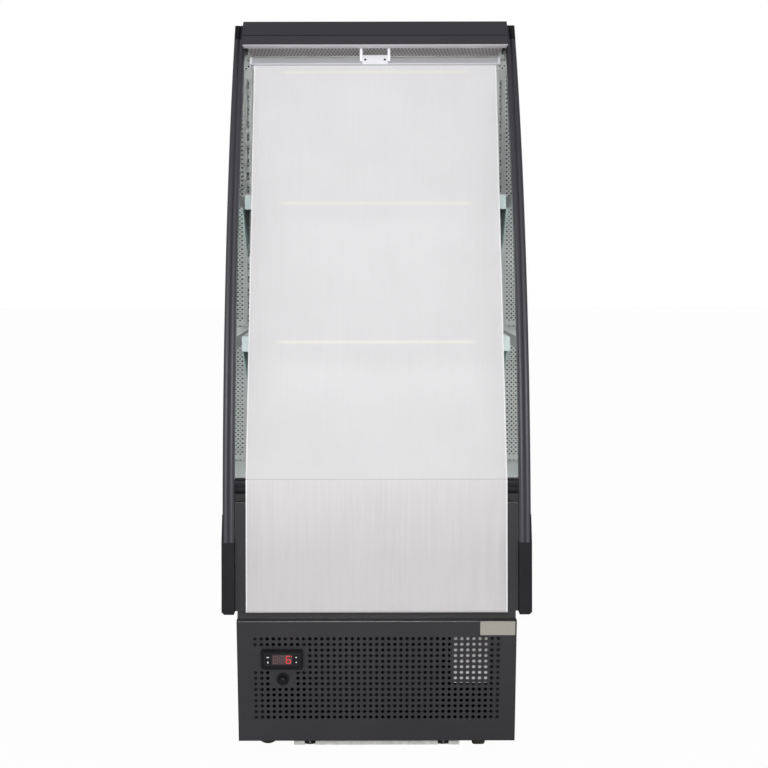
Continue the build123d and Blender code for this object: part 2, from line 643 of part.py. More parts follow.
def lamp(y, ceiling):
    """A light strip: a base on the surface above, and a half-round diffuser below it."""
    radius = LAMP_WIDTH / 2
    with BuildPart() as strip:
        with BuildSketch(Plane.YZ.offset(LAMP_OFFSET - LAMP_LENGTH / 2)):
            with Locations((y, ceiling)):
                Rectangle(LAMP_WIDTH, LAMP_BASE, align=(Align.CENTER, Align.MAX))
            with BuildLine():
                ThreePointArc((y - radius, ceiling - LAMP_BASE), (y, ceiling - LAMP_BASE - radius),
                              (y + radius, ceiling - LAMP_BASE))
                Line((y + radius, ceiling - LAMP_BASE), (y - radius, ceiling - LAMP_BASE))
            make_face()
        extrude(amount=LAMP_LENGTH)
    return strip.part


with BuildPart() as shelf_brackets:
    for shelf_top, shelf_depth in zip(SHELF_TOPS, SHELF_DEPTHS):
        add(shelf_bracket(shelf_top, shelf_depth))
    mirror(about=Plane.YZ)
save(shelf_brackets.part, "shelf_brackets")

with BuildPart() as shelves:
    for shelf_top, shelf_depth in zip(SHELF_TOPS, SHELF_DEPTHS):
        add(shelf_tray(shelf_top, shelf_depth))
save(shelves.part, "shelves")

with BuildPart() as price_rails:
    for shelf_top, shelf_depth in zip(SHELF_TOPS, SHELF_DEPTHS):
        add(price_rail(shelf_top, shelf_depth))
save(price_rails.part, "price_rails")

with BuildPart() as lamps:
    for shelf_top, shelf_depth in zip(SHELF_TOPS, SHELF_DEPTHS):
        add(lamp(UPRIGHT_Y - shelf_depth + LAMP_INSET, shelf_top - SHEET))
    add(lamp(HONEYCOMB_BACK + CANOPY_LAMP_GAP, CEILING_Z))
save(lamps.part, "lamps")

# ---------------------------------------------------------------- well and deck
with BuildPart() as well_tub:
    with BuildSketch(Plane.YZ.offset(-INNER_HALF)):
        with BuildLine():
            Polyline((TUB_FRONT, BASE_TOP), (REAR_WALL_Y, BASE_TOP), (REAR_WALL_Y, TUB_FLOOR_Z),
                     (TUB_FRONT + WELL_WALL, TUB_FLOOR_Z), (TUB_FRONT + WELL_WALL, TUB_TOP),
                     (TUB_FRONT, TUB_TOP), close=True)
        make_face()
    extrude(amount=2 * INNER_HALF)
    with Locations((DRAIN_X, DRAIN_Y, BASE_TOP)):
        Cylinder(DRAIN_RADIUS + BEARING_GAP, 3 * TUB_FLOOR, mode=Mode.SUBTRACT)
    with Locations((SUCTION_X, SUCTION_Y, BASE_TOP)):
        Cylinder(PIPE_RADIUS + BEARING_GAP, 3 * TUB_FLOOR, mode=Mode.SUBTRACT)
save(well_tub.part, "well_tub")

base_deck = open_tray(2 * INNER_HALF, DECK_FRONT, BACK_PANEL_Y + SHEET, DECK_TOP, DECK_EDGE, SHEET,
                      lambda faces: [faces.sort_by(Axis.Z)[0], faces.sort_by(Axis.Y)[-1]])
save(base_deck, "base_deck")

RETURN_FRONT = UPSTAND_Y + SHEET
RETURN_DEPTH = DECK_FRONT - RETURN_FRONT
with BuildPart() as return_air_grille:
    with BuildSketch(Plane.XY.offset(DECK_TOP - BASE_SHEET)):
        with Locations((0, (RETURN_FRONT + DECK_FRONT) / 2)):
            Rectangle(2 * INNER_HALF, RETURN_DEPTH)
            with GridLocations(GRILLE_BAR_PITCH, 1, int(2 * BASE_HALF / GRILLE_BAR_PITCH), 1):
                Rectangle(GRILLE_BAR_PITCH / 2, RETURN_DEPTH - 2 * GRILLE_RIM, mode=Mode.SUBTRACT)
    extrude(amount=BASE_SHEET)
save(return_air_grille.part, "return_air_grille")

panel_fold = [(UPSTAND_Y, BUMPER_TOP - BUMPER_RADIUS), (UPSTAND_Y, WELL_TOP), (WELL_FACE_Y, WELL_TOP),
              (WELL_FACE_Y, SIDE_BOTTOM)]
save(folded_sheet(panel_fold, SHEET, -INNER_HALF, INNER_HALF), "well_panel")

with BuildPart() as bumper:
    with BuildSketch(Plane.YZ.offset(-INNER_HALF)) as bumper_section:
        with Locations((UPSTAND_Y, (BUMPER_BOTTOM + BUMPER_TOP) / 2)):
            Rectangle(BUMPER_DEPTH, BUMPER_HEIGHT, align=(Align.MAX, Align.CENTER))
        fillet(bumper_section.vertices().group_by(Axis.X)[0], BUMPER_RADIUS)
        with Locations((UPSTAND_Y - BUMPER_DEPTH, (BUMPER_BOTTOM + BUMPER_TOP) / 2)):
            Circle(BUMPER_GROOVE, mode=Mode.SUBTRACT)
    extrude(amount=2 * INNER_HALF)
save(bumper.part, "bumper")

# ---------------------------------------------------------------- evaporator
save(finned_block(EVAPORATOR_SIZE, 0, EVAPORATOR_Y, TUB_FLOOR_Z, EVAPORATOR_LEGS), "evaporator_coil")

FAN_CENTRE_Z = (TUB_FLOOR_Z + DECK_TOP) / 2
MOTOR_RADIUS = HUB_SHARE * EVAPORATOR_FAN_RADIUS
MOTOR_Y = FAN_PLATE_Y + SHEET + FAN_DEPTH + FAN_GAP
with BuildPart() as evaporator_fan_plate:
    with BuildSketch(Plane.XZ.offset(-FAN_PLATE_Y)):
        with Locations((0, (TUB_FLOOR_Z + DECK_TOP - SHEET) / 2)):
            Rectangle(2 * BASE_HALF, DECK_TOP - SHEET - TUB_FLOOR_Z)
        with Locations((EVAPORATOR_FAN_X, FAN_CENTRE_Z), (-EVAPORATOR_FAN_X, FAN_CENTRE_Z)):
            Circle(EVAPORATOR_FAN_RADIUS + FAN_GAP, mode=Mode.SUBTRACT)
    extrude(amount=-SHEET)
save(evaporator_fan_plate.part, "evaporator_fan_plate")


def motor_with_arms(centre_x, centre_z, face_y, motor_y, radius, reach):
    """A fan motor on three arms that reach forward to the plate it hangs on."""
    with BuildPart() as motor:
        with Locations((centre_x, motor_y + FAN_DEPTH / 2, centre_z)):
            Cylinder(radius, FAN_DEPTH, rotation=(90, 0, 0))
        with Locations((centre_x, motor_y - FAN_DEPTH / 2, centre_z)):
            Cylinder(SHAFT_RADIUS, FAN_DEPTH, rotation=(90, 0, 0))
        with BuildSketch(Plane.XZ.offset(-motor_y - FAN_DEPTH / 2)):
            with Locations((centre_x, centre_z)):
                with PolarLocations((reach + radius) / 2, 3, start_angle=90):
                    Rectangle(reach - radius + BASE_SHEET, MOTOR_ARM)
        extrude(amount=-BASE_SHEET)
        with BuildSketch(Plane.XZ.offset(-face_y)):
            with Locations((centre_x, centre_z)):
                with PolarLocations(reach, 3, start_angle=90):
                    Rectangle(MOTOR_ARM, MOTOR_ARM)
        extrude(amount=-(motor_y + FAN_DEPTH / 2 + BASE_SHEET - face_y))
    return motor.part


with BuildPart() as evaporator_fan_motors:
    add(motor_with_arms(EVAPORATOR_FAN_X, FAN_CENTRE_Z, FAN_PLATE_Y + SHEET, MOTOR_Y, MOTOR_RADIUS,
                        EVAPORATOR_FAN_RADIUS + FAN_GAP + MOTOR_ARM))
    mirror(about=Plane.YZ)
save(evaporator_fan_motors.part, "evaporator_fan_motors")

FAN_Y = FAN_PLATE_Y + SHEET + FAN_DEPTH / 2
for fan_x, fan_name in ((-EVAPORATOR_FAN_X, "evaporator_fan_left"),
                        (EVAPORATOR_FAN_X, "evaporator_fan_right")):
    save(fan_wheel(EVAPORATOR_FAN_RADIUS, FAN_DEPTH, (fan_x, FAN_Y, FAN_CENTRE_Z)), fan_name)

# ---------------------------------------------------------------- base housing
FLOOR_TOP = BASE_BOTTOM + BASE_SHEET
TOP_LOW = BASE_TOP - BASE_SHEET
POST_LOW_Y = grille_y(FLOOR_TOP, SHEET)
POST_TOP_Y = grille_y(TOP_LOW, SHEET)
with BuildPart() as base_housing:
    for low in (BASE_BOTTOM, TOP_LOW):
        front_edge = grille_y(low, SHEET)
        with Locations((0, (front_edge + BASE_REAR) / 2, low)):
            Box(2 * BASE_HALF, BASE_REAR - front_edge, BASE_SHEET,
                align=(Align.CENTER, Align.CENTER, Align.MIN))
    with BuildSketch(Plane.YZ.offset(BASE_HALF - BASE_SHEET)):
        with BuildLine():
            Polyline((POST_LOW_Y, FLOOR_TOP), (BASE_REAR, FLOOR_TOP), (BASE_REAR, TOP_LOW),
                     (POST_TOP_Y, TOP_LOW), close=True)
        make_face()
    extrude(amount=BASE_SHEET)
    with BuildSketch(Plane.YZ.offset(POST_X)):
        with BuildLine():
            Polyline((POST_LOW_Y, FLOOR_TOP), (POST_LOW_Y + POST_DEPTH, FLOOR_TOP),
                     (POST_TOP_Y + POST_DEPTH, TOP_LOW), (POST_TOP_Y, TOP_LOW), close=True)
        make_face()
    extrude(amount=BASE_HALF - BASE_SHEET - POST_X)
    with BuildSketch(Plane.YZ.offset(POST_X + BASE_SHEET)):
        with BuildLine():
            Polyline((POST_LOW_Y + BASE_SHEET, FLOOR_TOP), (POST_LOW_Y + 2 * POST_DEPTH, FLOOR_TOP),
                     (POST_TOP_Y + 2 * POST_DEPTH, TOP_LOW), (POST_TOP_Y + BASE_SHEET, TOP_LOW), close=True)
        make_face()
    extrude(amount=BASE_HALF - 2 * BASE_SHEET - POST_X, mode=Mode.SUBTRACT)
    mirror(about=Plane.YZ)
    with Locations((DRAIN_X, DRAIN_Y, BASE_TOP)):
        Cylinder(DRAIN_RADIUS + BEARING_GAP, 4 * BASE_SHEET, mode=Mode.SUBTRACT)
    with Locations((SUCTION_X, SUCTION_Y, BASE_TOP)):
        Cylinder(PIPE_RADIUS + BEARING_GAP, 4 * BASE_SHEET, mode=Mode.SUBTRACT)
save(base_housing.part, "base_housing")


# ---------------------------------------------------------------- perforated base grille
def blank(column_x, row_y, centre_x, centre_row, field):
    """True where a hole would fall in the plain field round a control."""
    centre_y = -FIRST_ROW - centre_row * HOLE_PITCH
    return abs(column_x - centre_x) <= field[0] / 2 and abs(row_y - centre_y) <= field[1] / 2


def grille_slots():
    """Centre and height of each slot: a column's neighbouring holes joined into one."""
    slots = []
    for column in range(HOLE_COLUMNS):
        x = (column - (HOLE_COLUMNS - 1) / 2) * HOLE_PITCH
        for first in range(0, HOLE_ROWS, ROWS_JOINED):
            last = min(first + ROWS_JOINED, HOLE_ROWS)
            rows = [-FIRST_ROW - row * HOLE_PITCH for row in range(first, last)]
            open_rows = [y for y in rows
                         if not blank(x, y, CONTROLLER_X, CONTROLLER_ROW, CONTROLLER_FIELD)
                         and not blank(x, y, SWITCH_X, SWITCH_ROW, SWITCH_FIELD)]
            if open_rows:
                slot_length = open_rows[0] - open_rows[-1] + HOLE_SIZE
                slots.append((x, (open_rows[0] + open_rows[-1]) / 2, slot_length))
    return slots


CONTROLLER_Y = -FIRST_ROW - CONTROLLER_ROW * HOLE_PITCH
SWITCH_Y = -FIRST_ROW - SWITCH_ROW * HOLE_PITCH
CONTROLLER_PLANE = Plane(origin=GRILLE_PLANE.from_local_coords((CONTROLLER_X, CONTROLLER_Y, 0)),
                         x_dir=(1, 0, 0), z_dir=GRILLE_PLANE.z_dir)
SWITCH_PLANE = Plane(origin=GRILLE_PLANE.from_local_coords((SWITCH_X, SWITCH_Y, 0)),
                     x_dir=(1, 0, 0), z_dir=GRILLE_PLANE.z_dir)

with BuildPart() as base_grille:
    with BuildSketch(GRILLE_PLANE):
        Rectangle(2 * INNER_HALF, GRILLE_LENGTH, align=(Align.CENTER, Align.MAX))
        for slot_x, slot_y, slot_length in grille_slots():
            with Locations((slot_x, slot_y)):
                Rectangle(HOLE_SIZE, slot_length, mode=Mode.SUBTRACT)
        with Locations((CONTROLLER_X, CONTROLLER_Y)):
            Rectangle(CONTROLLER_BODY[0] + 2 * CONTROLLER_GAP, CONTROLLER_BODY[1] + 2 * CONTROLLER_GAP,
                      mode=Mode.SUBTRACT)
        with Locations((SWITCH_X, SWITCH_Y)):
            Circle(SWITCH_BUSH / 2 + BEARING_GAP, mode=Mode.SUBTRACT)
    extrude(amount=-SHEET)
    with BuildSketch(GRILLE_PLANE):
        with GridLocations(2 * INNER_HALF - SHEET, 1, 2, 1):
            Rectangle(SHEET, GRILLE_LENGTH, align=(Align.CENTER, Align.MAX))
    extrude(amount=-GRILLE_FLANGE)
save(base_grille.part, "base_grille")

LOUVRES = int((BASE_HEIGHT - 2 * LOUVRE_MARGIN) / LOUVRE_PITCH)
GLAND_Z = BASE_BOTTOM + GLAND_RISE
with BuildPart() as rear_grille:
    with BuildSketch(Plane.XZ.offset(-BASE_REAR)):
        with Locations((0, (BASE_BOTTOM + BASE_TOP) / 2)):
            Rectangle(2 * BASE_HALF, BASE_HEIGHT)
            with GridLocations(LOUVRE_SPACING, LOUVRE_PITCH, 2, LOUVRES):
                Rectangle(LOUVRE_LENGTH, LOUVRE_HEIGHT, mode=Mode.SUBTRACT)
        with Locations((GLAND_X, GLAND_Z)):
            Circle(GLAND_THREAD, mode=Mode.SUBTRACT)
    extrude(amount=-SHEET)
save(rear_grille.part, "rear_grille")

with BuildPart() as cable_gland:
    with BuildSketch(Plane.XZ.offset(-BASE_REAR - SHEET)):
        with Locations((GLAND_X, GLAND_Z)):
            RegularPolygon(GLAND_RADIUS, 6)
            Circle(CORD_BORE, mode=Mode.SUBTRACT)
    extrude(amount=-(BASE_REAR_SETBACK - SHEET))
save(cable_gland.part, "cable_gland")

# ---------------------------------------------------------------- controller and switch
key_places = [(side * KEY_PITCH[0] / 2, level * KEY_PITCH[1] / 2)
              for side in (-1, 1) for level in (-1, 1)]
with BuildPart() as controller_case:
    with BuildSketch(CONTROLLER_PLANE):
        RectangleRounded(*CONTROLLER_FACE, CONTROLLER_CORNER)
    extrude(amount=CONTROLLER_PROUD)
    with BuildSketch(CONTROLLER_PLANE):
        Rectangle(*CONTROLLER_BODY)
    extrude(amount=-CONTROLLER_BODY_DEPTH)
    with BuildSketch(CONTROLLER_PLANE.offset(CONTROLLER_PROUD)):
        Rectangle(*WINDOW_SIZE)
    extrude(amount=-WINDOW_DEPTH, mode=Mode.SUBTRACT)
    with BuildSketch(CONTROLLER_PLANE.offset(CONTROLLER_PROUD)):
        with Locations(key_places):
            Rectangle(KEY_SIZE[0] + 2 * KEY_GAP, KEY_SIZE[1] + 2 * KEY_GAP)
    extrude(amount=-(KEY_DEPTH - KEY_PROUD + KEY_TRAVEL_ROOM), mode=Mode.SUBTRACT)
save(controller_case.part, "controller_case")

with BuildPart() as controller_window:
    with BuildSketch(CONTROLLER_PLANE.offset(CONTROLLER_PROUD)):
        Rectangle(*WINDOW_SIZE)
    extrude(amount=-WINDOW_DEPTH)
save(controller_window.part, "controller_window")

for key_name, place in zip(("left_lower", "left_upper", "right_lower", "right_upper"), key_places):
    with BuildPart() as key:
        with BuildSketch(CONTROLLER_PLANE.offset(CONTROLLER_PROUD + KEY_PROUD)):
            with Locations(place):
                Rectangle(*KEY_SIZE)
        extrude(amount=-KEY_DEPTH)
    save(key.part, f"key_{key_name}")

with BuildPart() as switch_bezel:
    with BuildSketch(SWITCH_PLANE):
        Circle(SWITCH_DIAMETER / 2)
    extrude(amount=SWITCH_RIM)
    with BuildSketch(SWITCH_PLANE):
        Circle(SWITCH_BUSH / 2)
    extrude(amount=-SWITCH_DEPTH)
    with BuildSketch(SWITCH_PLANE.offset(SWITCH_RIM)):
        Circle(SWITCH_BORE / 2)
    extrude(amount=-(SWITCH_RIM + SWITCH_DEPTH - BASE_SHEET), mode=Mode.SUBTRACT)
save(switch_bezel.part, "switch_bezel")

BUTTON_RADIUS = SWITCH_BORE / 2 - BUTTON_GAP
BUTTON_LOW = -SWITCH_DEPTH + BASE_SHEET + BUTTON_ROOM
with BuildPart() as switch_button:
    with BuildSketch(SWITCH_PLANE.offset(SWITCH_RIM + BUTTON_PROUD)):
        Circle(BUTTON_RADIUS)
    extrude(amount=-(SWITCH_RIM + BUTTON_PROUD - BUTTON_LOW))
    chamfer(switch_button.faces().sort_by(Axis.Y)[0].edges(), BUTTON_EDGE)
save(switch_button.part, "switch_button")

# ---------------------------------------------------------------- condensing unit
save(finned_block(CONDENSER_SIZE, CONDENSER_X, CONDENSER_Y, FLOOR_TOP, 0.0), "condenser_coil")

SHROUD_FRONT = CONDENSER_Y + CONDENSER_SIZE[1] / 2
CONDENSER_FAN_Z = FLOOR_TOP + CONDENSER_SIZE[2] / 2
with BuildPart() as condenser_fan_shroud:
    with Locations((CONDENSER_X, SHROUD_FRONT + SHROUD_DEPTH / 2, CONDENSER_FAN_Z)):
        Box(CONDENSER_SIZE[0], SHROUD_DEPTH, CONDENSER_SIZE[2])
    with Locations((CONDENSER_X, SHROUD_FRONT + SHROUD_DEPTH / 2 - BASE_SHEET, CONDENSER_FAN_Z)):
        Box(CONDENSER_SIZE[0] - 2 * BASE_SHEET, SHROUD_DEPTH, CONDENSER_SIZE[2] - 2 * BASE_SHEET,
            mode=Mode.SUBTRACT)
    with Locations((CONDENSER_X, SHROUD_FRONT + SHROUD_DEPTH, CONDENSER_FAN_Z)):
        Cylinder(CONDENSER_FAN_RADIUS + FAN_GAP, 3 * BASE_SHEET, rotation=(90, 0, 0), mode=Mode.SUBTRACT)
save(condenser_fan_shroud.part, "condenser_fan_shroud")

CONDENSER_FAN_Y = SHROUD_FRONT + SHROUD_DEPTH
CONDENSER_MOTOR_Y = CONDENSER_FAN_Y + FAN_DEPTH / 2 + FAN_GAP
save(fan_wheel(CONDENSER_FAN_RADIUS, FAN_DEPTH, (CONDENSER_X, CONDENSER_FAN_Y, CONDENSER_FAN_Z)),
     "condenser_fan")
condenser_fan_motor = motor_with_arms(CONDENSER_X, CONDENSER_FAN_Z, CONDENSER_FAN_Y, CONDENSER_MOTOR_Y,
                                      HUB_SHARE * CONDENSER_FAN_RADIUS,
                                      CONDENSER_FAN_RADIUS + FAN_GAP + MOTOR_ARM_RIM)
save(condenser_fan_motor, "condenser_fan_motor")

FOOT_Z = FLOOR_TOP + GROMMET_HEIGHT
with BuildPart() as compressor:
    with BuildSketch(Plane.XY.offset(FOOT_Z + BASE_SHEET)):
        SlotOverall(COMPRESSOR_LENGTH, COMPRESSOR_WIDTH, rotation=90)
    extrude(amount=COMPRESSOR_HEIGHT)
    chamfer(compressor.faces().sort_by(Axis.Z)[-1].edges(), COMPRESSOR_SHOULDER / 2, COMPRESSOR_SHOULDER)
    with BuildSketch(Plane.XY.offset(FOOT_Z)):
        Rectangle(2 * (FOOT_SPACING + FOOT_RIM), 2 * (FOOT_SPACING + FOOT_RIM))
    extrude(amount=BASE_SHEET)
    with BuildSketch(Plane.XY.offset(FOOT_Z + SEAM_HEIGHT)):
        SlotOverall(COMPRESSOR_LENGTH + 2 * SEAM_PROUD, COMPRESSOR_WIDTH + 2 * SEAM_PROUD, rotation=90)
    extrude(amount=SEAM_WIDTH)
    with Locations((-COMPRESSOR_WIDTH / 2, 0, FOOT_Z + TERMINAL_HEIGHT)):
        Box(*TERMINAL_BOX)
save(compressor.part.translate((COMPRESSOR_X, COMPRESSOR_Y, 0)), "compressor")

with BuildPart() as rubber_mounts:
    with Locations((COMPRESSOR_X, COMPRESSOR_Y, FLOOR_TOP)):
        with GridLocations(2 * FOOT_SPACING, 2 * FOOT_SPACING, 2, 2):
            Cylinder(GROMMET_RADIUS, GROMMET_HEIGHT, align=(Align.CENTER, Align.CENTER, Align.MIN))
    with Locations((0, FRONT + UNDER_TRAY_SETBACK + MOUNT_RADIUS, UNDER_TRAY_CLEARANCE + SHEET)):
        with GridLocations(2 * MOUNT_X, 1, 2, 1):
            Cylinder(MOUNT_RADIUS, BASE_BOTTOM - UNDER_TRAY_CLEARANCE - SHEET,
                     align=(Align.CENTER, Align.CENTER, Align.MIN))
save(rubber_mounts.part, "rubber_mounts")

with BuildPart() as condensate_tray:
    with Locations((DRAIN_X, DRAIN_Y, FLOOR_TOP)):
        Box(*CONDENSATE_TRAY_SIZE, align=(Align.CENTER, Align.CENTER, Align.MIN))
    offset(amount=-BASE_SHEET, openings=condensate_tray.faces().sort_by(Axis.Z)[-1:])
save(condensate_tray.part, "condensate_tray")


# ---------------------------------------------------------------- pipes
def pipe(points):
    """A refrigerant pipe of many flat sides bent along a route of points."""
    with BuildPart() as tube:
        with BuildLine() as route:
            FilletPolyline(*points, radius=PIPE_BEND)
        with BuildSketch(Plane(origin=route.line @ 0, z_dir=route.line % 0)):
            RegularPolygon(PIPE_RADIUS, PIPE_SIDES)
        sweep()
    return tube.part


COMPRESSOR_TOP = FOOT_Z + BASE_SHEET + COMPRESSOR_HEIGHT
CONDENSER_TOP = FLOOR_TOP + CONDENSER_SIZE[2]
PIPE_LEVEL = COMPRESSOR_TOP + PIPE_RISE
DISCHARGE_X = CONDENSER_X + CONDENSER_SIZE[0] / 2
with BuildPart() as pipework:
    add(pipe([(DISCHARGE_X, COMPRESSOR_Y, COMPRESSOR_TOP), (DISCHARGE_X, COMPRESSOR_Y, PIPE_LEVEL),
              (DISCHARGE_X, CONDENSER_Y, PIPE_LEVEL), (DISCHARGE_X, CONDENSER_Y, CONDENSER_TOP)]))
    add(pipe([(SUCTION_X, COMPRESSOR_Y, COMPRESSOR_TOP), (SUCTION_X, COMPRESSOR_Y, PIPE_LEVEL),
              (SUCTION_X, SUCTION_Y, PIPE_LEVEL), (SUCTION_X, SUCTION_Y, TUB_FLOOR_Z + EVAPORATOR_LEGS)]))
    with Locations((DRAIN_X, DRAIN_Y, FLOOR_TOP + CONDENSATE_TRAY_SIZE[2] / 2)):
        Cylinder(DRAIN_RADIUS, TUB_FLOOR_Z - FLOOR_TOP - CONDENSATE_TRAY_SIZE[2] / 2,
                 align=(Align.CENTER, Align.CENTER, Align.MIN))
        Cylinder(DRAIN_RADIUS - BASE_SHEET, TUB_FLOOR_Z, align=(Align.CENTER, Align.CENTER, Align.MIN),
                 mode=Mode.SUBTRACT)
save(pipework.part, "pipework")

with BuildPart() as wiring_box:
    with Locations((BASE_HALF - WIRING_BOX_INSET, FRONT + WIRING_BOX_SETBACK, TOP_LOW)):
        Box(*WIRING_BOX_SIZE, align=(Align.CENTER, Align.MIN, Align.MAX))
    fillet(wiring_box.edges().filter_by(Axis.Z), WIRING_BOX_CORNER)
save(wiring_box.part, "wiring_box")

# ---------------------------------------------------------------- under-tray
TRAY_FRONT = FRONT + UNDER_TRAY_SETBACK
with BuildPart() as under_tray:
    with Locations((0, TRAY_FRONT + UNDER_TRAY_DEPTH / 2, UNDER_TRAY_CLEARANCE)):
        Box(UNDER_TRAY_WIDTH, UNDER_TRAY_DEPTH, BASE_BOTTOM - UNDER_TRAY_CLEARANCE,
            align=(Align.CENTER, Align.CENTER, Align.MIN))
    offset(amount=-SHEET, openings=under_tray.faces().sort_by(Axis.Z)[-1:])
    with Locations((0, TRAY_FRONT, UNDER_TRAY_CLEARANCE)):
        with GridLocations(2 * MOUNT_X, 1, 2, 1):
            Box(2 * (MOUNT_RADIUS + MOUNT_GAP), 4 * SHEET, 2 * BASE_BOTTOM, mode=Mode.SUBTRACT)
save(under_tray.part, "under_tray")

# ---------------------------------------------------------------- castors
FRONT_CASTOR_Y = FRONT + FRONT_CASTOR_SETBACK
REAR_CASTOR_Y = REAR - REAR_CASTOR_SETBACK
LEFT_TURN = 90.0
RIGHT_TURN = 180.0
with BuildPart() as castor_plates:
    for castor_y in (FRONT_CASTOR_Y, REAR_CASTOR_Y):
        with Locations((0, castor_y, BASE_BOTTOM)):
            with GridLocations(2 * CASTOR_X, 1, 2, 1):
                Box(CASTOR_PLATE_SIZE, CASTOR_PLATE_SIZE, CASTOR_PLATE,
                    align=(Align.CENTER, Align.CENTER, Align.MAX))
    for castor_y, gap in ((FRONT_CASTOR_Y, BEARING_GAP), (REAR_CASTOR_Y, 0.0)):
        with Locations((0, castor_y, BASE_BOTTOM - CASTOR_PLATE)):
            with GridLocations(2 * CASTOR_X, 1, 2, 1):
                Cylinder(CASTOR_BEARING, CASTOR_BEARING - CASTOR_PLATE - gap,
                         align=(Align.CENTER, Align.CENTER, Align.MAX))
    with Locations((0, FRONT_CASTOR_Y, CASTOR_CROWN)):
        with GridLocations(2 * CASTOR_X, 1, 2, 1):
            Cylinder(KING_PIN, BASE_BOTTOM - CASTOR_CROWN, align=(Align.CENTER, Align.CENTER, Align.MIN))
    for side in (-1, 1):
        add(fork((side * CASTOR_X, REAR_CASTOR_Y, 0), 0.0))
save(castor_plates.part, "castor_plates")

save(fork((-CASTOR_X, FRONT_CASTOR_Y, 0), LEFT_TURN), "castor_fork_left")
save(fork((CASTOR_X, FRONT_CASTOR_Y, 0), RIGHT_TURN), "castor_fork_right")
save(wheel((-CASTOR_X - TRAIL, FRONT_CASTOR_Y, WHEEL_RADIUS), LEFT_TURN), "wheel_front_left")
save(wheel((CASTOR_X, FRONT_CASTOR_Y - TRAIL, WHEEL_RADIUS), RIGHT_TURN), "wheel_front_right")
save(wheel((-CASTOR_X, REAR_CASTOR_Y + TRAIL, WHEEL_RADIUS), 0.0), "wheel_rear_left")
save(wheel((CASTOR_X, REAR_CASTOR_Y + TRAIL, WHEEL_RADIUS), 0.0), "wheel_rear_right")

# ---------------------------------------------------------------- night blind
with BuildPart() as blind_fabric:
    with BuildSketch(BLIND_PLANE):
        Rectangle(FABRIC_WIDTH, FABRIC_LENGTH, align=(Align.CENTER, Align.MAX))
    extrude(amount=FABRIC / 2, both=True)
save(blind_fabric.part, "blind_fabric")

with BuildPart() as pull_bar:
    with BuildSketch(BLIND_PLANE.offset(-BAR_THICKNESS / 2)):
        Rectangle(BAR_WIDTH, BAR_HEIGHT, align=(Align.CENTER, Align.MIN))
    extrude(amount=BAR_THICKNESS)
    fillet(pull_bar.edges().filter_by(Axis.X), BAR_EDGE)
    with BuildSketch(BLIND_PLANE.offset(-BAR_THICKNESS / 2)):
        with Locations((0, BAR_HEIGHT / 2)):
            with GridLocations(BAR_WIDTH + BAR_CAP, 1, 2, 1):
                Rectangle(BAR_CAP, BAR_HEIGHT - 2 * BAR_CAP_STEP)
    extrude(amount=BAR_THICKNESS)
save(pull_bar.part, "pull_bar")

HANDLE_FACE = BAR_THICKNESS / 2 + HANDLE_THICKNESS
with BuildPart() as pull_handle:
    with BuildSketch(BLIND_PLANE.offset(BAR_THICKNESS / 2)):
        Rectangle(HANDLE_WIDTH, HANDLE_HEIGHT, align=(Align.CENTER, Align.MIN))
        with Locations((0, HANDLE_HEIGHT / 2)):
            with GridLocations(HANDLE_HOLE_SPACING, 1, 2, 1):
                Circle(HANDLE_HOLE / 2, mode=Mode.SUBTRACT)
    extrude(amount=HANDLE_THICKNESS)
    arm_low = BLIND_PLANE.from_local_coords((0, BAR_HEIGHT / 2, HANDLE_FACE))
    arm_top = CANOPY_BOTTOM + LIP_UPSTAND + ARM_THICKNESS + RUNNING_GAP
    nose_y = LIP_BACK - ARM_THICKNESS - RUNNING_GAP - SHEET
    arm_fold = [(arm_low.Y, arm_low.Z - ARM_LAP), (arm_low.Y, arm_top), (nose_y, arm_top),
                (nose_y, arm_top - ARM_THICKNESS - ARM_LAP)]
    for inner in (HANDLE_WIDTH / 2, -HANDLE_WIDTH / 2 - ARM_WIDTH):
        add(folded_sheet(arm_fold, ARM_THICKNESS, inner, inner + ARM_WIDTH))
save(pull_handle.part, "pull_handle")

APRON_Y = BLIND_FOOT_Y - FABRIC / 2
apron_fold = [(APRON_Y, BUMPER_TOP - RUNNING_GAP), (APRON_Y, APRON_LOW), (ROLLER_Y, APRON_LOW)]
with BuildPart() as blind_apron:
    with BuildSketch(Plane.YZ.offset(-FABRIC_WIDTH / 2)):
        with BuildLine():
            hang = FilletPolyline(*apron_fold, radius=WRAP_RADIUS)
            offset(hang, amount=FABRIC, side=Side.LEFT)
        make_face()
    extrude(amount=FABRIC_WIDTH)
save(blind_apron.part, "blind_apron")

with BuildPart() as blind_roller:
    with Locations((0, ROLLER_Y, ROLLER_Z)):
        Cylinder(ROLLER_RADIUS, FABRIC_WIDTH, rotation=(0, 90, 0))
        Cylinder(ROLLER_PIN, 2 * (INNER_HALF - PIN_END_GAP), rotation=(0, 90, 0))
save(blind_roller.part, "blind_roller")

with BuildPart() as blind_brackets:
    with BuildSketch(Plane.YZ.offset(INNER_HALF - BRACKET_PLATE)):
        with Locations((ROLLER_Y, ROLLER_Z)):
            RectangleRounded(2 * ROLLER_RADIUS, 2 * ROLLER_RADIUS - BASE_SHEET, BRACKET_CORNER)
            Circle(ROLLER_PIN + PIN_GAP, mode=Mode.SUBTRACT)
    extrude(amount=BRACKET_PLATE)
    mirror(about=Plane.YZ)
save(blind_brackets.part, "blind_brackets")
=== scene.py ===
from math import cos, pi, radians, sin

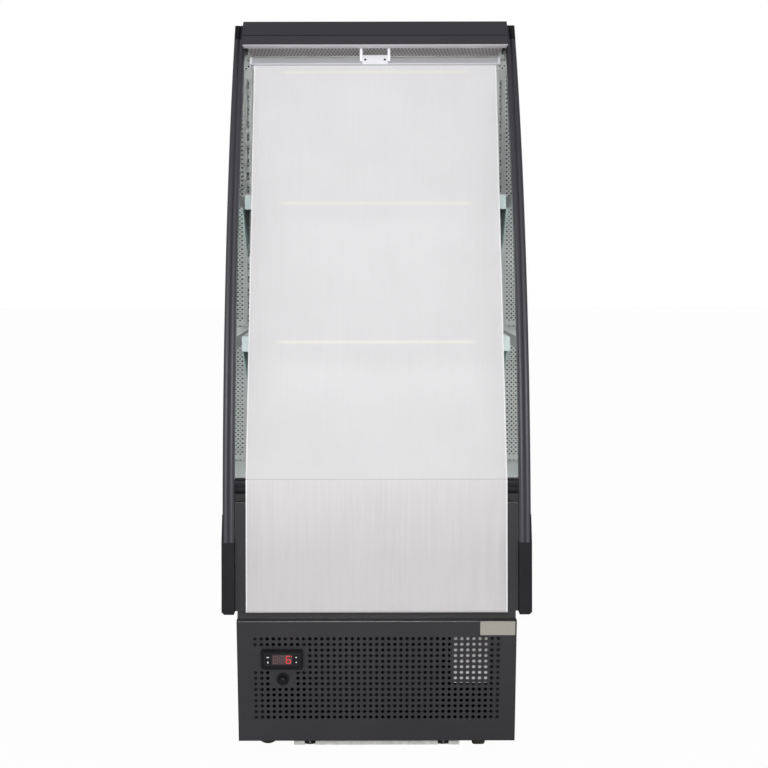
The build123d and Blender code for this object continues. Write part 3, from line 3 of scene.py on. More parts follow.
import bpy
import numpy as np
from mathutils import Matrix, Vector


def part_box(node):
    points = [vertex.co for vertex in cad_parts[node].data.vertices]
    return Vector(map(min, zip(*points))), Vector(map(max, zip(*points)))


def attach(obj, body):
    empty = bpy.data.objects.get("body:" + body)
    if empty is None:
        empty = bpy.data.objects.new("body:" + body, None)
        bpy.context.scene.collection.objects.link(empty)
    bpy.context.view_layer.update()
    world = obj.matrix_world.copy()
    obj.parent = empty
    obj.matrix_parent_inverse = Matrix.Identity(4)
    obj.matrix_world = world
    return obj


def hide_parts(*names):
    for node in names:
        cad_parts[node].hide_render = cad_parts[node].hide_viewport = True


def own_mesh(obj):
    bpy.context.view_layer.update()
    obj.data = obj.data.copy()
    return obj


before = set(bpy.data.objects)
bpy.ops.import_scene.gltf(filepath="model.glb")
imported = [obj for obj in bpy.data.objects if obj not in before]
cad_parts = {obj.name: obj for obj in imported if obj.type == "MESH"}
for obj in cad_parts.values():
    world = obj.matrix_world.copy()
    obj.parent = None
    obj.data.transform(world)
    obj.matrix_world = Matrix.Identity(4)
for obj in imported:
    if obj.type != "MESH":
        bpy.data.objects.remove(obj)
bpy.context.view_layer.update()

# The open multideck display fridge, shut with its night blind. Metres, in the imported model's frame:
# +X is the viewer's right, the front faces -Y, +Z is up.
MM = 0.001


# ---------------------------------------------------------------- node helpers
def node(tree, kind, inputs=(), **settings):
    """One shader node, its settings made and its inputs linked or set."""
    made = tree.nodes.new(kind)
    for name, value in settings.items():
        setattr(made, name, value)
    for name, value in dict(inputs).items():
        if isinstance(value, bpy.types.NodeSocket):
            tree.links.new(value, made.inputs[name])
        else:
            made.inputs[name].default_value = value
    return made


def blank_material(name):
    """A material with an empty tree and its output node."""
    material = bpy.data.materials.new(name)
    material.use_nodes = True
    tree = material.node_tree
    tree.nodes.clear()
    return material, tree, tree.nodes.new("ShaderNodeOutputMaterial")


def object_place(tree, scale=(1.0, 1.0, 1.0)):
    """The piece's own coordinates in metres, stretched by scale."""
    place = node(tree, "ShaderNodeTexCoord").outputs["Object"]
    return node(tree, "ShaderNodeMapping", {"Vector": place, "Scale": scale}).outputs["Vector"]


def maths(tree, operation, first, second=0.0):
    """One step of arithmetic on numbers or sockets."""
    return node(tree, "ShaderNodeMath", {0: first, 1: second}, operation=operation).outputs[0]


def parts_of(tree, vector):
    """A vector's X, Y and Z."""
    return node(tree, "ShaderNodeSeparateXYZ", {"Vector": vector}).outputs


def blend(tree, share, first, second):
    """Two shaders mixed, by the second one's share."""
    made = node(tree, "ShaderNodeMixShader", {0: share, 1: first.outputs[0], 2: second.outputs[0]})
    return made.outputs[0]


def noise(tree, place, scale, detail=2.0, roughness=0.5):
    """Smooth noise at so many waves to the metre."""
    made = node(tree, "ShaderNodeTexNoise", {"Vector": place, "Scale": scale, "Detail": detail,
                                             "Roughness": roughness})
    return made.outputs["Fac"]


def spread(tree, value, low, high, to_low=0.0, to_high=1.0):
    """A value carried from one range to another, clamped."""
    made = node(tree, "ShaderNodeMapRange", {"Value": value, "From Min": low, "From Max": high,
                                             "To Min": to_low, "To Max": to_high})
    return made.outputs["Result"]


def tint(tree, factor, first, second):
    """A colour between two, by a factor."""
    made = node(tree, "ShaderNodeMix", data_type="RGBA")
    for socket, value in ((made.inputs[0], factor), (made.inputs[6], first), (made.inputs[7], second)):
        if isinstance(value, bpy.types.NodeSocket):
            tree.links.new(value, socket)
        else:
            socket.default_value = value if isinstance(value, float) else (*value, 1.0)
    return made.outputs[2]


def finish(name, light, dark, roughness, grain, relief, stretch=(1.0, 1.0, 1.0), metallic=0.0, drift=5.0,
           spread_of=0.10, specular=0.5, patches=()):
    """A surface that drifts between two tones, with a grain in its relief and its gloss.
    light, dark: its tones. drift, grain: waves to the metre, broad and fine. relief: the grain's depth in
    metres. patches: (colour, axis, distance) of what lies further than that from the middle."""
    material, tree, output = blank_material(name)
    place = object_place(tree, stretch)
    broad = spread(tree, noise(tree, place, drift, 3.0), 0.35, 0.65)
    fine = noise(tree, place, grain)
    colour = tint(tree, broad, light, dark)
    for patch_colour, axis, distance in patches:
        far = maths(tree, "ABSOLUTE", parts_of(tree, object_place(tree))[axis])
        colour = tint(tree, maths(tree, "GREATER_THAN", far, distance), colour, patch_colour)
    gloss = spread(tree, fine, 0.3, 0.7, roughness - spread_of / 2, roughness + spread_of / 2)
    bump = node(tree, "ShaderNodeBump", {"Height": fine, "Strength": 1.0, "Distance": relief})
    shader = node(tree, "ShaderNodeBsdfPrincipled",
                  {"Base Color": colour, "Roughness": gloss, "Metallic": metallic,
                   "Specular IOR Level": specular, "Normal": bump.outputs["Normal"]})
    tree.links.new(shader.outputs["BSDF"], output.inputs["Surface"])
    return material


def painted_cell_shading(name, light, dark, pitch, row_pitch):
    """The outlet's plastic, with painted light and shade: two tones that alternate from cell to cell,
    staggered from row to row, as the light and shade of the open cells show when they are seen from low down."""
    material, tree, output = blank_material(name)
    apart = parts_of(tree, object_place(tree))
    waves = [maths(tree, "SINE", maths(tree, "MULTIPLY", apart[axis], 2 * pi / length))
             for axis, length in (("X", pitch), ("Y", row_pitch))]
    cells = spread(tree, maths(tree, "MULTIPLY", *waves), -0.5, 0.5)
    shader = node(tree, "ShaderNodeBsdfPrincipled", {"Base Color": tint(tree, cells, dark, light),
                                                     "Roughness": 0.8, "Specular IOR Level": 0.05})
    tree.links.new(shader.outputs["BSDF"], output.inputs["Surface"])
    return material


# ---------------------------------------------------------------- finishes
# Where a finish changes: above a level on the canopy, whose top band is a paler painted highlight; and so far
# from the middle on the sides of the base housing, whose near-black middle is painted shade, and the well,
# the well's front and back, and the pull bar's end caps.
CANOPY_TOP = 1.4655
HOUSING_SIDE = 0.2738
TUB_SIDE = 0.2735
TUB_FRONT = 0.2665
BAR_CAP = 0.2595
tub_outside = (0.040, 0.039, 0.043)

anthracite = finish("anthracite_powder_coat", (0.034, 0.032, 0.036), (0.029, 0.027, 0.030), 0.45, 1400.0,
                    0.00004, specular=0.32)
# The canopy's dark coat. Its band above CANOPY_TOP is painted paler, a painted highlight on the upward facet.
canopy_coat_and_highlight = finish("canopy_coat_and_highlight", (0.028, 0.026, 0.031), (0.024, 0.022, 0.027), 0.48, 1400.0, 0.00004,
                     specular=0.15, patches=[((0.045, 0.043, 0.050), "Z", CANOPY_TOP)])
side_skin = finish("side_skin_coat", (0.028, 0.027, 0.031), (0.023, 0.022, 0.025), 0.48, 1400.0, 0.00004,
                   specular=0.3)
trim_plastic = finish("ribbed_trim_plastic", (0.042, 0.040, 0.048), (0.034, 0.032, 0.040), 0.42, 700.0,
                      0.00003, stretch=(1.0, 1.0, 0.08), specular=0.55)
black_plastic = finish("black_plastic", (0.012, 0.011, 0.014), (0.008, 0.007, 0.010), 0.40, 1200.0, 0.00003,
                       specular=0.2)
gloss_black = finish("gloss_black_plastic", (0.006, 0.005, 0.007), (0.004, 0.004, 0.005), 0.22, 900.0,
                     0.00001, spread_of=0.06, specular=0.22)
controller_face = finish("controller_face", (0.016, 0.015, 0.017), (0.013, 0.012, 0.014), 0.42, 1000.0,
                         0.00002, specular=0.25)
# The base housing, near black as painted shade behind the grille's holes; its outer sides in a dark coat.
inside_housing_shade = finish("base_housing_coat_and_shade", (0.008, 0.008, 0.009), (0.005, 0.005, 0.006), 0.6, 900.0,
                        0.00003, specular=0.15, patches=[((0.030, 0.028, 0.032), "X", HOUSING_SIDE)])
box_white = finish("wiring_box_white", (0.95, 0.95, 0.95), (0.92, 0.92, 0.93), 0.4, 900.0, 0.00002)
# The ledge: the dark powder coat painted paler, as painted light on a ledge that lies in the cabinet's shade.
ledge_painted_light = finish("ledge_painted_light", (0.046, 0.045, 0.049), (0.036, 0.035, 0.038), 0.40, 1400.0, 0.00003)
# The canopy's fold bar, near black: painted shade along the fold.
canopy_fold_shade = finish("canopy_fold_painted_shade", (0.012, 0.011, 0.013), (0.009, 0.008, 0.010), 0.5, 900.0, 0.00001,
                   specular=0.15)
# The ledge's and the well panel's fold bars, painted paler than the powder coat as a painted highlight.
fold_painted_highlight = finish("fold_painted_highlight", (0.090, 0.088, 0.094), (0.065, 0.063, 0.068), 0.30, 900.0, 0.00001,
                    stretch=(0.2, 1.0, 1.0))
mirror_steel = finish("mirror_lining", (0.96, 0.96, 0.955), (0.94, 0.94, 0.935), 0.025, 300.0, 0.0,
                      stretch=(1.0, 1.0, 0.05), metallic=1.0, spread_of=0.02)
grey_lip = finish("grey_lip_extrusion", (0.58, 0.56, 0.58), (0.52, 0.50, 0.52), 0.62, 900.0, 0.00002,
                  stretch=(0.05, 1.0, 1.0))
# The outlet's cells: painted light and shade in two tones, staggered like the open cells.
outlet_cell_shade = painted_cell_shading("outlet_cell_painted_shade", (0.74, 0.70, 0.70), (0.39, 0.36, 0.36), 7.4 * MM, 66.0 * MM)
white_sheet = finish("white_sheet_coat", (0.84, 0.86, 0.85), (0.80, 0.82, 0.81), 0.35, 1500.0, 0.00003)
tub_skin = finish("well_tub_skin", (0.84, 0.86, 0.85), (0.80, 0.82, 0.81), 0.35, 1500.0, 0.00003,
                  patches=[(tub_outside, "Y", TUB_FRONT), (tub_outside, "X", TUB_SIDE)])
upright_paint = finish("upright_paint", (0.72, 0.73, 0.72), (0.66, 0.67, 0.66), 0.36, 1300.0, 0.00003)
teal_paint = finish("bracket_paint", (0.62, 0.75, 0.74), (0.57, 0.70, 0.69), 0.38, 1300.0, 0.00003)
rail_plastic = finish("price_rail_plastic", (0.52, 0.62, 0.61), (0.47, 0.57, 0.56), 0.34, 1100.0, 0.00002,
                      stretch=(0.05, 1.0, 1.0))
white_plastic = finish("white_plastic", (0.93, 0.93, 0.97), (0.89, 0.89, 0.93), 0.35, 1100.0, 0.00002)
bar_aluminium = finish("bar_aluminium", (0.50, 0.50, 0.53), (0.45, 0.45, 0.475), 0.38, 1500.0, 0.00001,
                       stretch=(0.03, 1.0, 1.0), metallic=0.25,
                       patches=[((0.84, 0.84, 0.88), "X", BAR_CAP)])
satin_aluminium = finish("satin_aluminium", (0.55, 0.56, 0.60), (0.48, 0.49, 0.53), 0.36, 1500.0, 0.00001,
                         stretch=(0.03, 1.0, 1.0), metallic=0.55)
galvanised = finish("galvanised_sheet", (0.78, 0.77, 0.74), (0.62, 0.62, 0.60), 0.40, 240.0, 0.00002,
                    metallic=0.3, drift=90.0, spread_of=0.2)
bare_plate = finish("badge_plate_metal", (0.46, 0.44, 0.38), (0.40, 0.38, 0.33), 0.40, 2600.0, 0.00001,
                    stretch=(0.04, 1.0, 1.0), metallic=0.35)
fan_plastic = finish("fan_plastic", (0.030, 0.030, 0.033), (0.022, 0.022, 0.025), 0.45, 900.0, 0.00003)
compressor_coat = finish("compressor_coat", (0.016, 0.016, 0.018), (0.010, 0.010, 0.012), 0.30, 600.0,
                         0.00005)
copper_pipe = finish("copper_pipe", (0.72, 0.38, 0.24), (0.55, 0.26, 0.16), 0.30, 400.0, 0.00002,
                     metallic=1.0)
black_rubber = finish("black_rubber", (0.014, 0.013, 0.014), (0.009, 0.008, 0.009), 0.60, 700.0, 0.00006,
                      specular=0.3)
olive_tread = finish("castor_tread", (0.070, 0.062, 0.035), (0.048, 0.043, 0.026), 0.55, 600.0, 0.00006)
hub_plastic = finish("castor_hub_plastic", (0.050, 0.049, 0.050), (0.036, 0.035, 0.036), 0.42, 800.0, 0.00003)
zinc_plate = finish("zinc_plate", (0.60, 0.60, 0.58), (0.48, 0.49, 0.50), 0.32, 500.0, 0.00002, metallic=0.9,
                    drift=60.0)
dull_steel = finish("dull_castor_steel", (0.20, 0.20, 0.19), (0.13, 0.13, 0.125), 0.45, 500.0, 0.00003,
                    metallic=0.6, drift=60.0)
coil_fins = finish("coil_fins", (0.62, 0.63, 0.65), (0.48, 0.49, 0.51), 0.34, 500.0, 0.00002, metallic=0.9,
                   stretch=(1.0, 1.0, 0.1))
# The condenser's fins, near black all over.
near_black_fins = finish("near_black_condenser_fins", (0.020, 0.020, 0.021), (0.010, 0.010, 0.011), 0.6, 500.0, 0.00003,
                    stretch=(1.0, 1.0, 0.1), specular=0.2)
display_black = finish("display_window", (0.085, 0.055, 0.060), (0.060, 0.040, 0.044), 0.20, 260.0, 0.0,
                       spread_of=0.10)
unlit_segment = finish("unlit_segment", (0.125, 0.060, 0.062), (0.095, 0.048, 0.050), 0.3, 900.0, 0.0)

# The levels of the lowest and the highest lamp.
LAMP_LEVELS = (0.84, 1.43)


def glow(name, colour, low_strength, base=(0.82, 0.82, 0.79), high_strength=None):
    """A surface of a base colour that gives its own light, with the plastic's gloss over it. The light goes
    from its low strength at the lowest lamp's level to its high strength at the highest one's."""
    material, tree, output = blank_material(name)
    place = object_place(tree)
    height = parts_of(tree, place)["Z"]
    strength = spread(tree, height, *LAMP_LEVELS, low_strength, high_strength or low_strength)
    shaded = tint(tree, noise(tree, place, 800.0), base, tuple(0.92 * part for part in base))
    shader = node(tree, "ShaderNodeBsdfPrincipled",
                  {"Base Color": shaded, "Roughness": 0.4, "Emission Color": (*colour, 1.0),
                   "Emission Strength": strength})
    tree.links.new(shader.outputs["BSDF"], output.inputs["Surface"])
    return material


lamp_glow = glow("lamp_diffuser", (0.97, 0.99, 1.0), 27.0, high_strength=10.5)
digit_glow = glow("lit_digit", (1.0, 0.045, 0.035), 0.75, base=(0.20, 0.02, 0.02))
# The keys' printed icons, given a faint painted glow.
icon_painted_glow = glow("key_icon", (0.9, 0.9, 0.95), 0.12)

# The blind's cloth: the pitch of its threads; how far from its middle line the sealed edge begins and is
# full, and a lamp's band is full and has faded; and how far from its own level a band is so.
THREAD_PITCH = 0.9 * MM
HEM = (0.2525, 0.2532)
BAND_END = (0.185, 0.205)
BAND_HALF = (0.0008, 0.006)


def cloth(name, head_colour, foot_colour, fall, streaks, bands=()):
    """The night blind's coated cloth: a weave of two crossed threads, creases and darker streaks along its
    length as strong as streaks, a pale sealed edge, and warm bands at levels along it where a lamp behind
    shows through. It goes from the head's colour to the foot's between the two levels of fall, a painted
    shade that darkens it towards the foot. It reads the cloth's own flat coordinates, in metres."""
    sealed, warm, streak_grey, black = (0.92, 0.92, 0.93), (0.82, 0.81, 0.73), (0.52, 0.50, 0.51), (0.0, 0.0, 0.0)
    material, tree, output = blank_material(name)
    flat = node(tree, "ShaderNodeUVMap", uv_map="flat").outputs["UV"]
    apart = parts_of(tree, flat)
    threads = [maths(tree, "SINE", maths(tree, "MULTIPLY", apart[axis], 2 * pi / THREAD_PITCH))
               for axis in ("X", "Y")]
    weave = maths(tree, "MULTIPLY", *threads)
    along = node(tree, "ShaderNodeMapping", {"Vector": flat, "Scale": (1.0, 0.03, 1.0)}).outputs["Vector"]
    streak = spread(tree, noise(tree, along, 190.0, 3.0, 0.6), 0.40, 0.72)
    cloud = spread(tree, noise(tree, flat, 7.0, 3.0), 0.35, 0.65)
    aside = maths(tree, "ABSOLUTE", apart["X"])
    # The colour from head to foot: painted shade, darker towards the foot.
    fall_shaded = tint(tree, spread(tree, apart["Y"], *fall), head_colour, foot_colour)
    clouded = tint(tree, cloud, fall_shaded, tint(tree, 0.03, fall_shaded, black))
    # Streaks along the length, where the creases run, darken the cloth towards a grey.
    marked = tint(tree, maths(tree, "MULTIPLY", streak, streaks), clouded, streak_grey)
    inside = spread(tree, aside, *BAND_END, 1.0, 0.0)
    for level in bands:
        off = maths(tree, "ABSOLUTE", maths(tree, "SUBTRACT", apart["Y"], level))
        band = maths(tree, "MULTIPLY", inside, spread(tree, off, *BAND_HALF, 0.75, 0.0))
        marked = tint(tree, band, marked, warm)
    colour = tint(tree, spread(tree, aside, *HEM), marked, sealed)
    crease = node(tree, "ShaderNodeBump", {"Height": streak, "Strength": 0.25, "Distance": 0.0006})
    bump = node(tree, "ShaderNodeBump", {"Height": weave, "Strength": 0.3, "Distance": 0.00008,
                                         "Normal": crease.outputs["Normal"]}).outputs["Normal"]
    face = node(tree, "ShaderNodeBsdfPrincipled", {"Base Color": colour, "Roughness": 0.6, "Normal": bump})
    behind = node(tree, "ShaderNodeBsdfTranslucent", {"Color": colour, "Normal": bump})
    clear = node(tree, "ShaderNodeBsdfTransparent", {"Color": (0.98, 0.97, 0.94, 1.0)})
    solid = node(tree, "ShaderNodeMixShader", {0: 0.06, 1: face.outputs[0], 2: behind.outputs[0]})
    tree.links.new(blend(tree, 0.003, solid, clear), output.inputs["Surface"])
    return material


# The blind's cloth, painted a little darker towards its foot as painted shade.
blind_cloth = cloth("night_blind_cloth", (0.770, 0.760, 0.768), (0.693, 0.682, 0.688), (0.85, 0.05), 0.05,
                    bands=(0.275, 0.568, 0.859))
# The apron: the blind's cloth painted darker all over as painted shade, and darker still towards the roller.
apron_cloth = cloth("night_blind_apron_shaded_cloth", (0.695, 0.680, 0.683), (0.615, 0.598, 0.600), (0.0, -0.15),
                    0.24)

# ---------------------------------------------------------------- mesh helpers
def piece(name, shape, material, body="cabinet", smooth=False, flat=None):
    """A mesh from a shape, which is an array of points and lists of face corners, riding on a body. flat:
    each point's place on the flat sheet."""
    points, faces = shape
    mesh = bpy.data.meshes.new(name)
    polygons = [list(map(int, face)) for face in faces]
    mesh.from_pydata(np.asarray(points, float).reshape(-1, 3).tolist(), [], polygons)
    mesh.materials.append(material)
    if flat is not None:
        layer = mesh.uv_layers.new(name="flat")
        corners = np.zeros(len(mesh.loops), np.int32)
        mesh.loops.foreach_get("vertex_index", corners)
        layer.data.foreach_set("uv", np.asarray(flat, float)[corners].ravel())
    mesh.polygons.foreach_set("use_smooth", np.full(len(mesh.polygons), smooth))
    mesh.update()
    made = bpy.data.objects.new(name, mesh)
    bpy.context.scene.collection.objects.link(made)
    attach(made, body)
    return made


def thicken(obj, thickness):
    """A sheet's wall, behind its faces."""
    wall = obj.modifiers.new("wall", "SOLIDIFY")
    wall.thickness = thickness
    wall.offset = -1.0


def grid_faces(rows, columns):
    """Quads of a rows by columns grid of points, counted row by row."""
    first = (np.arange(rows - 1)[:, None] * columns + np.arange(columns - 1)).ravel()
    return np.stack([first, first + 1, first + columns + 1, first + columns], axis=1)


def merged(points, faces):
    """Points that lie together made one, to a hundredth of a millimetre."""
    keys, index = np.unique(np.round(points / 1e-5).astype(np.int64), axis=0, return_inverse=True)
    order = np.zeros(len(keys), int)
    order[index.ravel()] = np.arange(len(points))
    return points[order], index.ravel()[faces]


def circle(sides):
    """Directions (u, v) all round, anticlockwise."""
    turns = 2 * pi * np.arange(sides) / sides
    return np.stack([np.cos(turns), np.sin(turns)], axis=1)


def ringed_cells(first, second, w=0.0):
    """Flat cells at w, each a ring of quads between its first and its second outline (u, v), which have as
    many points, made one where they meet."""
    count, sides = first.shape[:2]
    step = np.arange(sides)
    after = (step + 1) % sides
    ring = np.stack([step, step + sides, after + sides, after], axis=1)
    faces = (np.arange(count)[:, None, None] * 2 * sides + ring).reshape(-1, 4)
    flat = np.stack([first, second], axis=1).reshape(-1, 2)
    return merged(np.column_stack([flat, np.full(len(flat), w)]), faces)


def punched(u_edges, v_edges, open_cells, radius, sides):
    """A flat sheet of cells between edges along u and v; an open cell has a round hole of so many sides.
    Each cell is a ring of quads between points on the hole, or its centre, and the same directions
    carried out to the cell's border."""
    out = circle(sides)
    border = out / np.abs(out).max(axis=1, keepdims=True)
    u_low, v_low = np.meshgrid(u_edges[:-1], v_edges[:-1])
    u_high, v_high = np.meshgrid(u_edges[1:], v_edges[1:])
    centre = np.stack([(u_low + u_high) / 2, (v_low + v_high) / 2], axis=-1).reshape(-1, 1, 2)
    half = np.stack([(u_high - u_low) / 2, (v_high - v_low) / 2], axis=-1).reshape(-1, 1, 2)
    reach = np.where(open_cells.ravel(), radius, 0.0)[:, None, None]
    return ringed_cells(centre + reach * out, centre + half * border)


def tidy_faces(faces):
    """Face corners with repeats left out, so that a ring round a closed centre is triangles."""
    kept = []
    for face in faces.tolist():
        corners = list(dict.fromkeys(face))
        if len(corners) > 2:
            kept.append(corners)
    return kept


def placed(points, origin, u_dir, v_dir, w_dir=(0.0, 0.0, 0.0)):
    """Points (u, v, w) carried to a plane by its origin and directions."""
    return np.asarray(origin) + points @ np.array([u_dir, v_dir, w_dir])


def rectangle(left, right, low, high):
    """A rectangle's outline, anticlockwise."""
    return [(left, low), (right, low), (right, high), (left, high)]


def rounded(width, height, radius):
    """A rectangle's outline with round corners, anticlockwise, five points to a corner's quarter turn."""
    corners = []
    for quarter, (side, level) in enumerate(((1, 1), (-1, 1), (-1, -1), (1, -1))):
        turns = (quarter + np.linspace(0, 1, 5)) * pi / 2
        centre = np.array([side * (width / 2 - radius), level * (height / 2 - radius)])
        corners.append(centre + radius * np.stack([np.cos(turns), np.sin(turns)], axis=1))
    return np.concatenate(corners)


def ring_quads(count, here, there):
    """Quads between two closed rings of points, so many to a ring, that start at here and there."""
    step = np.arange(count)
    after = (step + 1) % count
    return np.stack([step + here, after + here, after + there, step + there], axis=1).tolist()


def prism(outline, low, high):
    """A closed prism: an anticlockwise outline (u, v) carried from w low to w high."""
    outline = np.asarray(outline, float)
    count = len(outline)
    points = np.concatenate([np.column_stack([outline, np.full(count, level)]) for level in (low, high)])
    ends = [list(range(count))[::-1], list(range(count, 2 * count))]
    return points, ring_quads(count, 0, count) + ends


def frame_ring(outer, inner, low, high):
    """A closed flat ring between two outlines with as many points, from w low to w high."""
    count = len(outer)
    rings = [np.column_stack([line, np.full(count, level)])
             for line, level in ((outer, low), (outer, high), (inner, high), (inner, low))]
    faces = []
    for first in range(4):
        faces += ring_quads(count, first * count, (first + 1) % 4 * count)
    return np.concatenate(rings), faces


def lathed(profile, sides):
    """A closed turned shape: a profile (radius, w) from its foot up, turned about w, flat at both ends."""
    around = circle(sides)
    points = np.concatenate([np.column_stack([radius * around, np.full(sides, w)]) for radius, w in profile])
    faces = [list(range(sides))[::-1]]
    for here in range(0, len(points) - sides, sides):
        faces += ring_quads(sides, here, here + sides)
    return points, faces + [list(range(len(points) - sides, len(points)))]


def across(w_dir):
    """Two directions across w_dir, then w_dir itself, right-handed."""
    w = np.asarray(w_dir, float)
    u = np.cross((0.0, 0.0, 1.0) if abs(w[2]) < 0.9 else (0.0, 1.0, 0.0), w)
    u = u / np.linalg.norm(u)
    return u, np.cross(w, u), w


def repeated(shape, places, w_dir):
    """Copies of one small shape at places, its w along w_dir."""
    points, faces = shape
    directions = across(w_dir)
    return joined(*((placed(points, place, *directions), faces) for place in places))


def at_both_ends(shape, centres, axis, reach):
    """Copies of a shape on both sides of centres, so far away along an axis, facing away from them."""
    axis = np.array(axis)
    return joined(repeated(shape, [np.array(centre) + reach * axis for centre in centres], axis),
                  repeated(shape, [np.array(centre) - reach * axis for centre in centres], -axis))


def along_x(section, x_from, x_to):
    """A prism along X with a section (Y, Z), anticlockwise seen from +X."""
    points, faces = prism(section, x_from, x_to)
    return points[:, [2, 0, 1]], faces


def joined(*shapes):
    """Several shapes as one."""
    points, faces, count = [], [], 0
    for shape_points, shape_faces in shapes:
        points.append(shape_points)
        faces += [[corner + count for corner in face] for face in shape_faces]
        count += len(shape_points)
    return np.concatenate(points), faces


# ---------------------------------------------------------------- night blind
blind_low, blind_high = np.array(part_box("blind_fabric"))
apron_low, apron_high = np.array(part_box("blind_apron"))
FABRIC_HALF = float(blind_high[0])
foot = np.array([0.0, blind_low[1], blind_low[2]])
head = np.array([0.0, blind_high[1], blind_high[2]])
lean = (head - foot) / np.linalg.norm(head - foot)
out_of_blind = np.array([0.0, -lean[2], lean[1]])
BLIND_LENGTH = float(np.linalg.norm(head - foot))


def blind_sheet():
    """The blind's cloth: a plane from its foot to the bar, with a shallow sag of a sine along its length
    and ripples across that fade towards the bar and the edges."""
    rows, columns = 60, 90
    v, u = np.meshgrid(np.linspace(0, 1, rows), np.linspace(-1, 1, columns), indexing="ij")
    sag_depth, ripple_depth, foot_ripple_depth = 0.0012, 0.0005, 0.0004
    sag = -sag_depth * np.sin(pi * v) * (1 - 0.3 * u**2)
    ripple = ripple_depth * np.sin(5 * pi * u + 2 * v) * np.sin(pi * v)
    foot_ripple = foot_ripple_depth * np.sin(9 * pi * v + u) * (1 - v)
    bow = (sag + (ripple + foot_ripple) * (1 - u**8)).ravel()
    flat = np.stack([(u * FABRIC_HALF).ravel(), (v * BLIND_LENGTH).ravel()], axis=1)
    points = foot + np.outer(flat[:, 1], lean) + np.outer(bow, out_of_blind)
    points[:, 0] = flat[:, 0]
    made = piece("night_blind_fabric", (points, grid_faces(rows, columns)), blind_cloth,
                 smooth=True, flat=flat)
    # The bar travels 0.85 m along the 0.8738 m of cloth above the bumper.
    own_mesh(made)
    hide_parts("blind_fabric")


def apron_sheet():
    """The cloth below the bumper: straight down in front of the well, then round the lower edge and back
    to the roller, carried across the width with shallow pleats that start at the bumper."""
    rows, columns = 70, 180
    drop = float(apron_high[2] - apron_low[2])
    back, bend, pleat_depth = 0.0270, 4.0 * MM, 0.0005
    path_length = drop - bend + pi / 2 * bend + back - bend
    s = np.linspace(0, path_length, rows)
    fall = np.minimum(s, drop - bend)
    turn = np.clip((s - fall) / bend, 0, pi / 2)
    run = np.maximum(s - (drop - bend) - pi / 2 * bend, 0)
    y = apron_low[1] + bend * (1 - np.cos(turn)) + run
    z = apron_high[2] - fall - bend * np.sin(turn)
    u = np.linspace(-1, 1, columns)
    share = np.clip(s / drop, 0, 1)[:, None]
    pleat = pleat_depth * np.sin(41 * u + 3 * np.sin(7 * u)) * np.sin(pi * share) ** 0.7
    points = np.zeros((rows, columns, 3))
    points[..., 0] = u * FABRIC_HALF
    points[..., 1] = y[:, None] - pleat * np.cos(turn)[:, None]
    points[..., 2] = z[:, None]
    flat = np.stack(np.broadcast_arrays(u * FABRIC_HALF, -s[:, None]), axis=-1).reshape(-1, 2)
    made = piece("night_blind_apron", (points, grid_faces(rows, columns)[:, ::-1]), apron_cloth,
                 smooth=True, flat=flat)
    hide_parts("blind_apron")


blind_sheet()
apron_sheet()

# ---------------------------------------------------------------- perforated base grille
grille_low, grille_high = np.array(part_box("base_grille"))
SLOPE = radians(11.9)
GRILLE_HALF = float(grille_high[0])
GRILLE_WALL = 1.5 * MM
grille_top = np.array([0.0, grille_low[1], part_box("base_housing")[1][2]])
down_slope = np.array([0.0, sin(SLOPE), -cos(SLOPE)])
into_grille = np.array([0.0, cos(SLOPE), sin(SLOPE)])
HOLE_PITCH = 12.0 * MM
HOLE_RADIUS = 3.6 * MM
HOLE_COLUMNS = 41
HOLE_ROWS = 15
FIRST_ROW = 37.0 * MM
GRILLE_LENGTH = 256.5 * MM


def on_grille(shape, x, down, proud=0.0):
    """A shape drawn flat, carried to the sloped front at x, so far down from its top edge and proud of it."""
    points, faces = shape
    place = grille_top + np.array([x, 0.0, 0.0]) + down * down_slope - proud * into_grille
    return placed(points, place, (1, 0, 0), -down_slope, -into_grille), faces


def grille_sheet():
    """The perforated front: cells of the hole pattern, closed round the controller and the switch, with
    wide plain cells at the rim."""
    columns = (np.arange(HOLE_COLUMNS + 1) - HOLE_COLUMNS / 2) * HOLE_PITCH
    rows = FIRST_ROW + (np.arange(HOLE_ROWS + 1) - 0.5) * HOLE_PITCH
    u_edges = np.concatenate([[-GRILLE_HALF], columns, [GRILLE_HALF]])
    v_edges = np.concatenate([[0.0], rows, [GRILLE_LENGTH]])
    row, column = np.mgrid[-1:HOLE_ROWS + 1, -1:HOLE_COLUMNS + 1]
    pattern = (row >= 0) & (row < HOLE_ROWS) & (column >= 0) & (column < HOLE_COLUMNS)
    at_controller = (row >= 2) & (row <= 5) & (column <= 8)
    at_switch = (row >= 6) & (row <= 8) & (column >= 3) & (column <= 6)
    holes = pattern & ~at_controller & ~at_switch
    points, faces = punched(u_edges, v_edges, holes, HOLE_RADIUS, 16)
    front = placed(points, grille_top, (1, 0, 0), down_slope)
    made = piece("grille_front", (front, tidy_faces(faces[:, ::-1])), anthracite)
    thicken(made, GRILLE_WALL)
    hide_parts("base_grille")


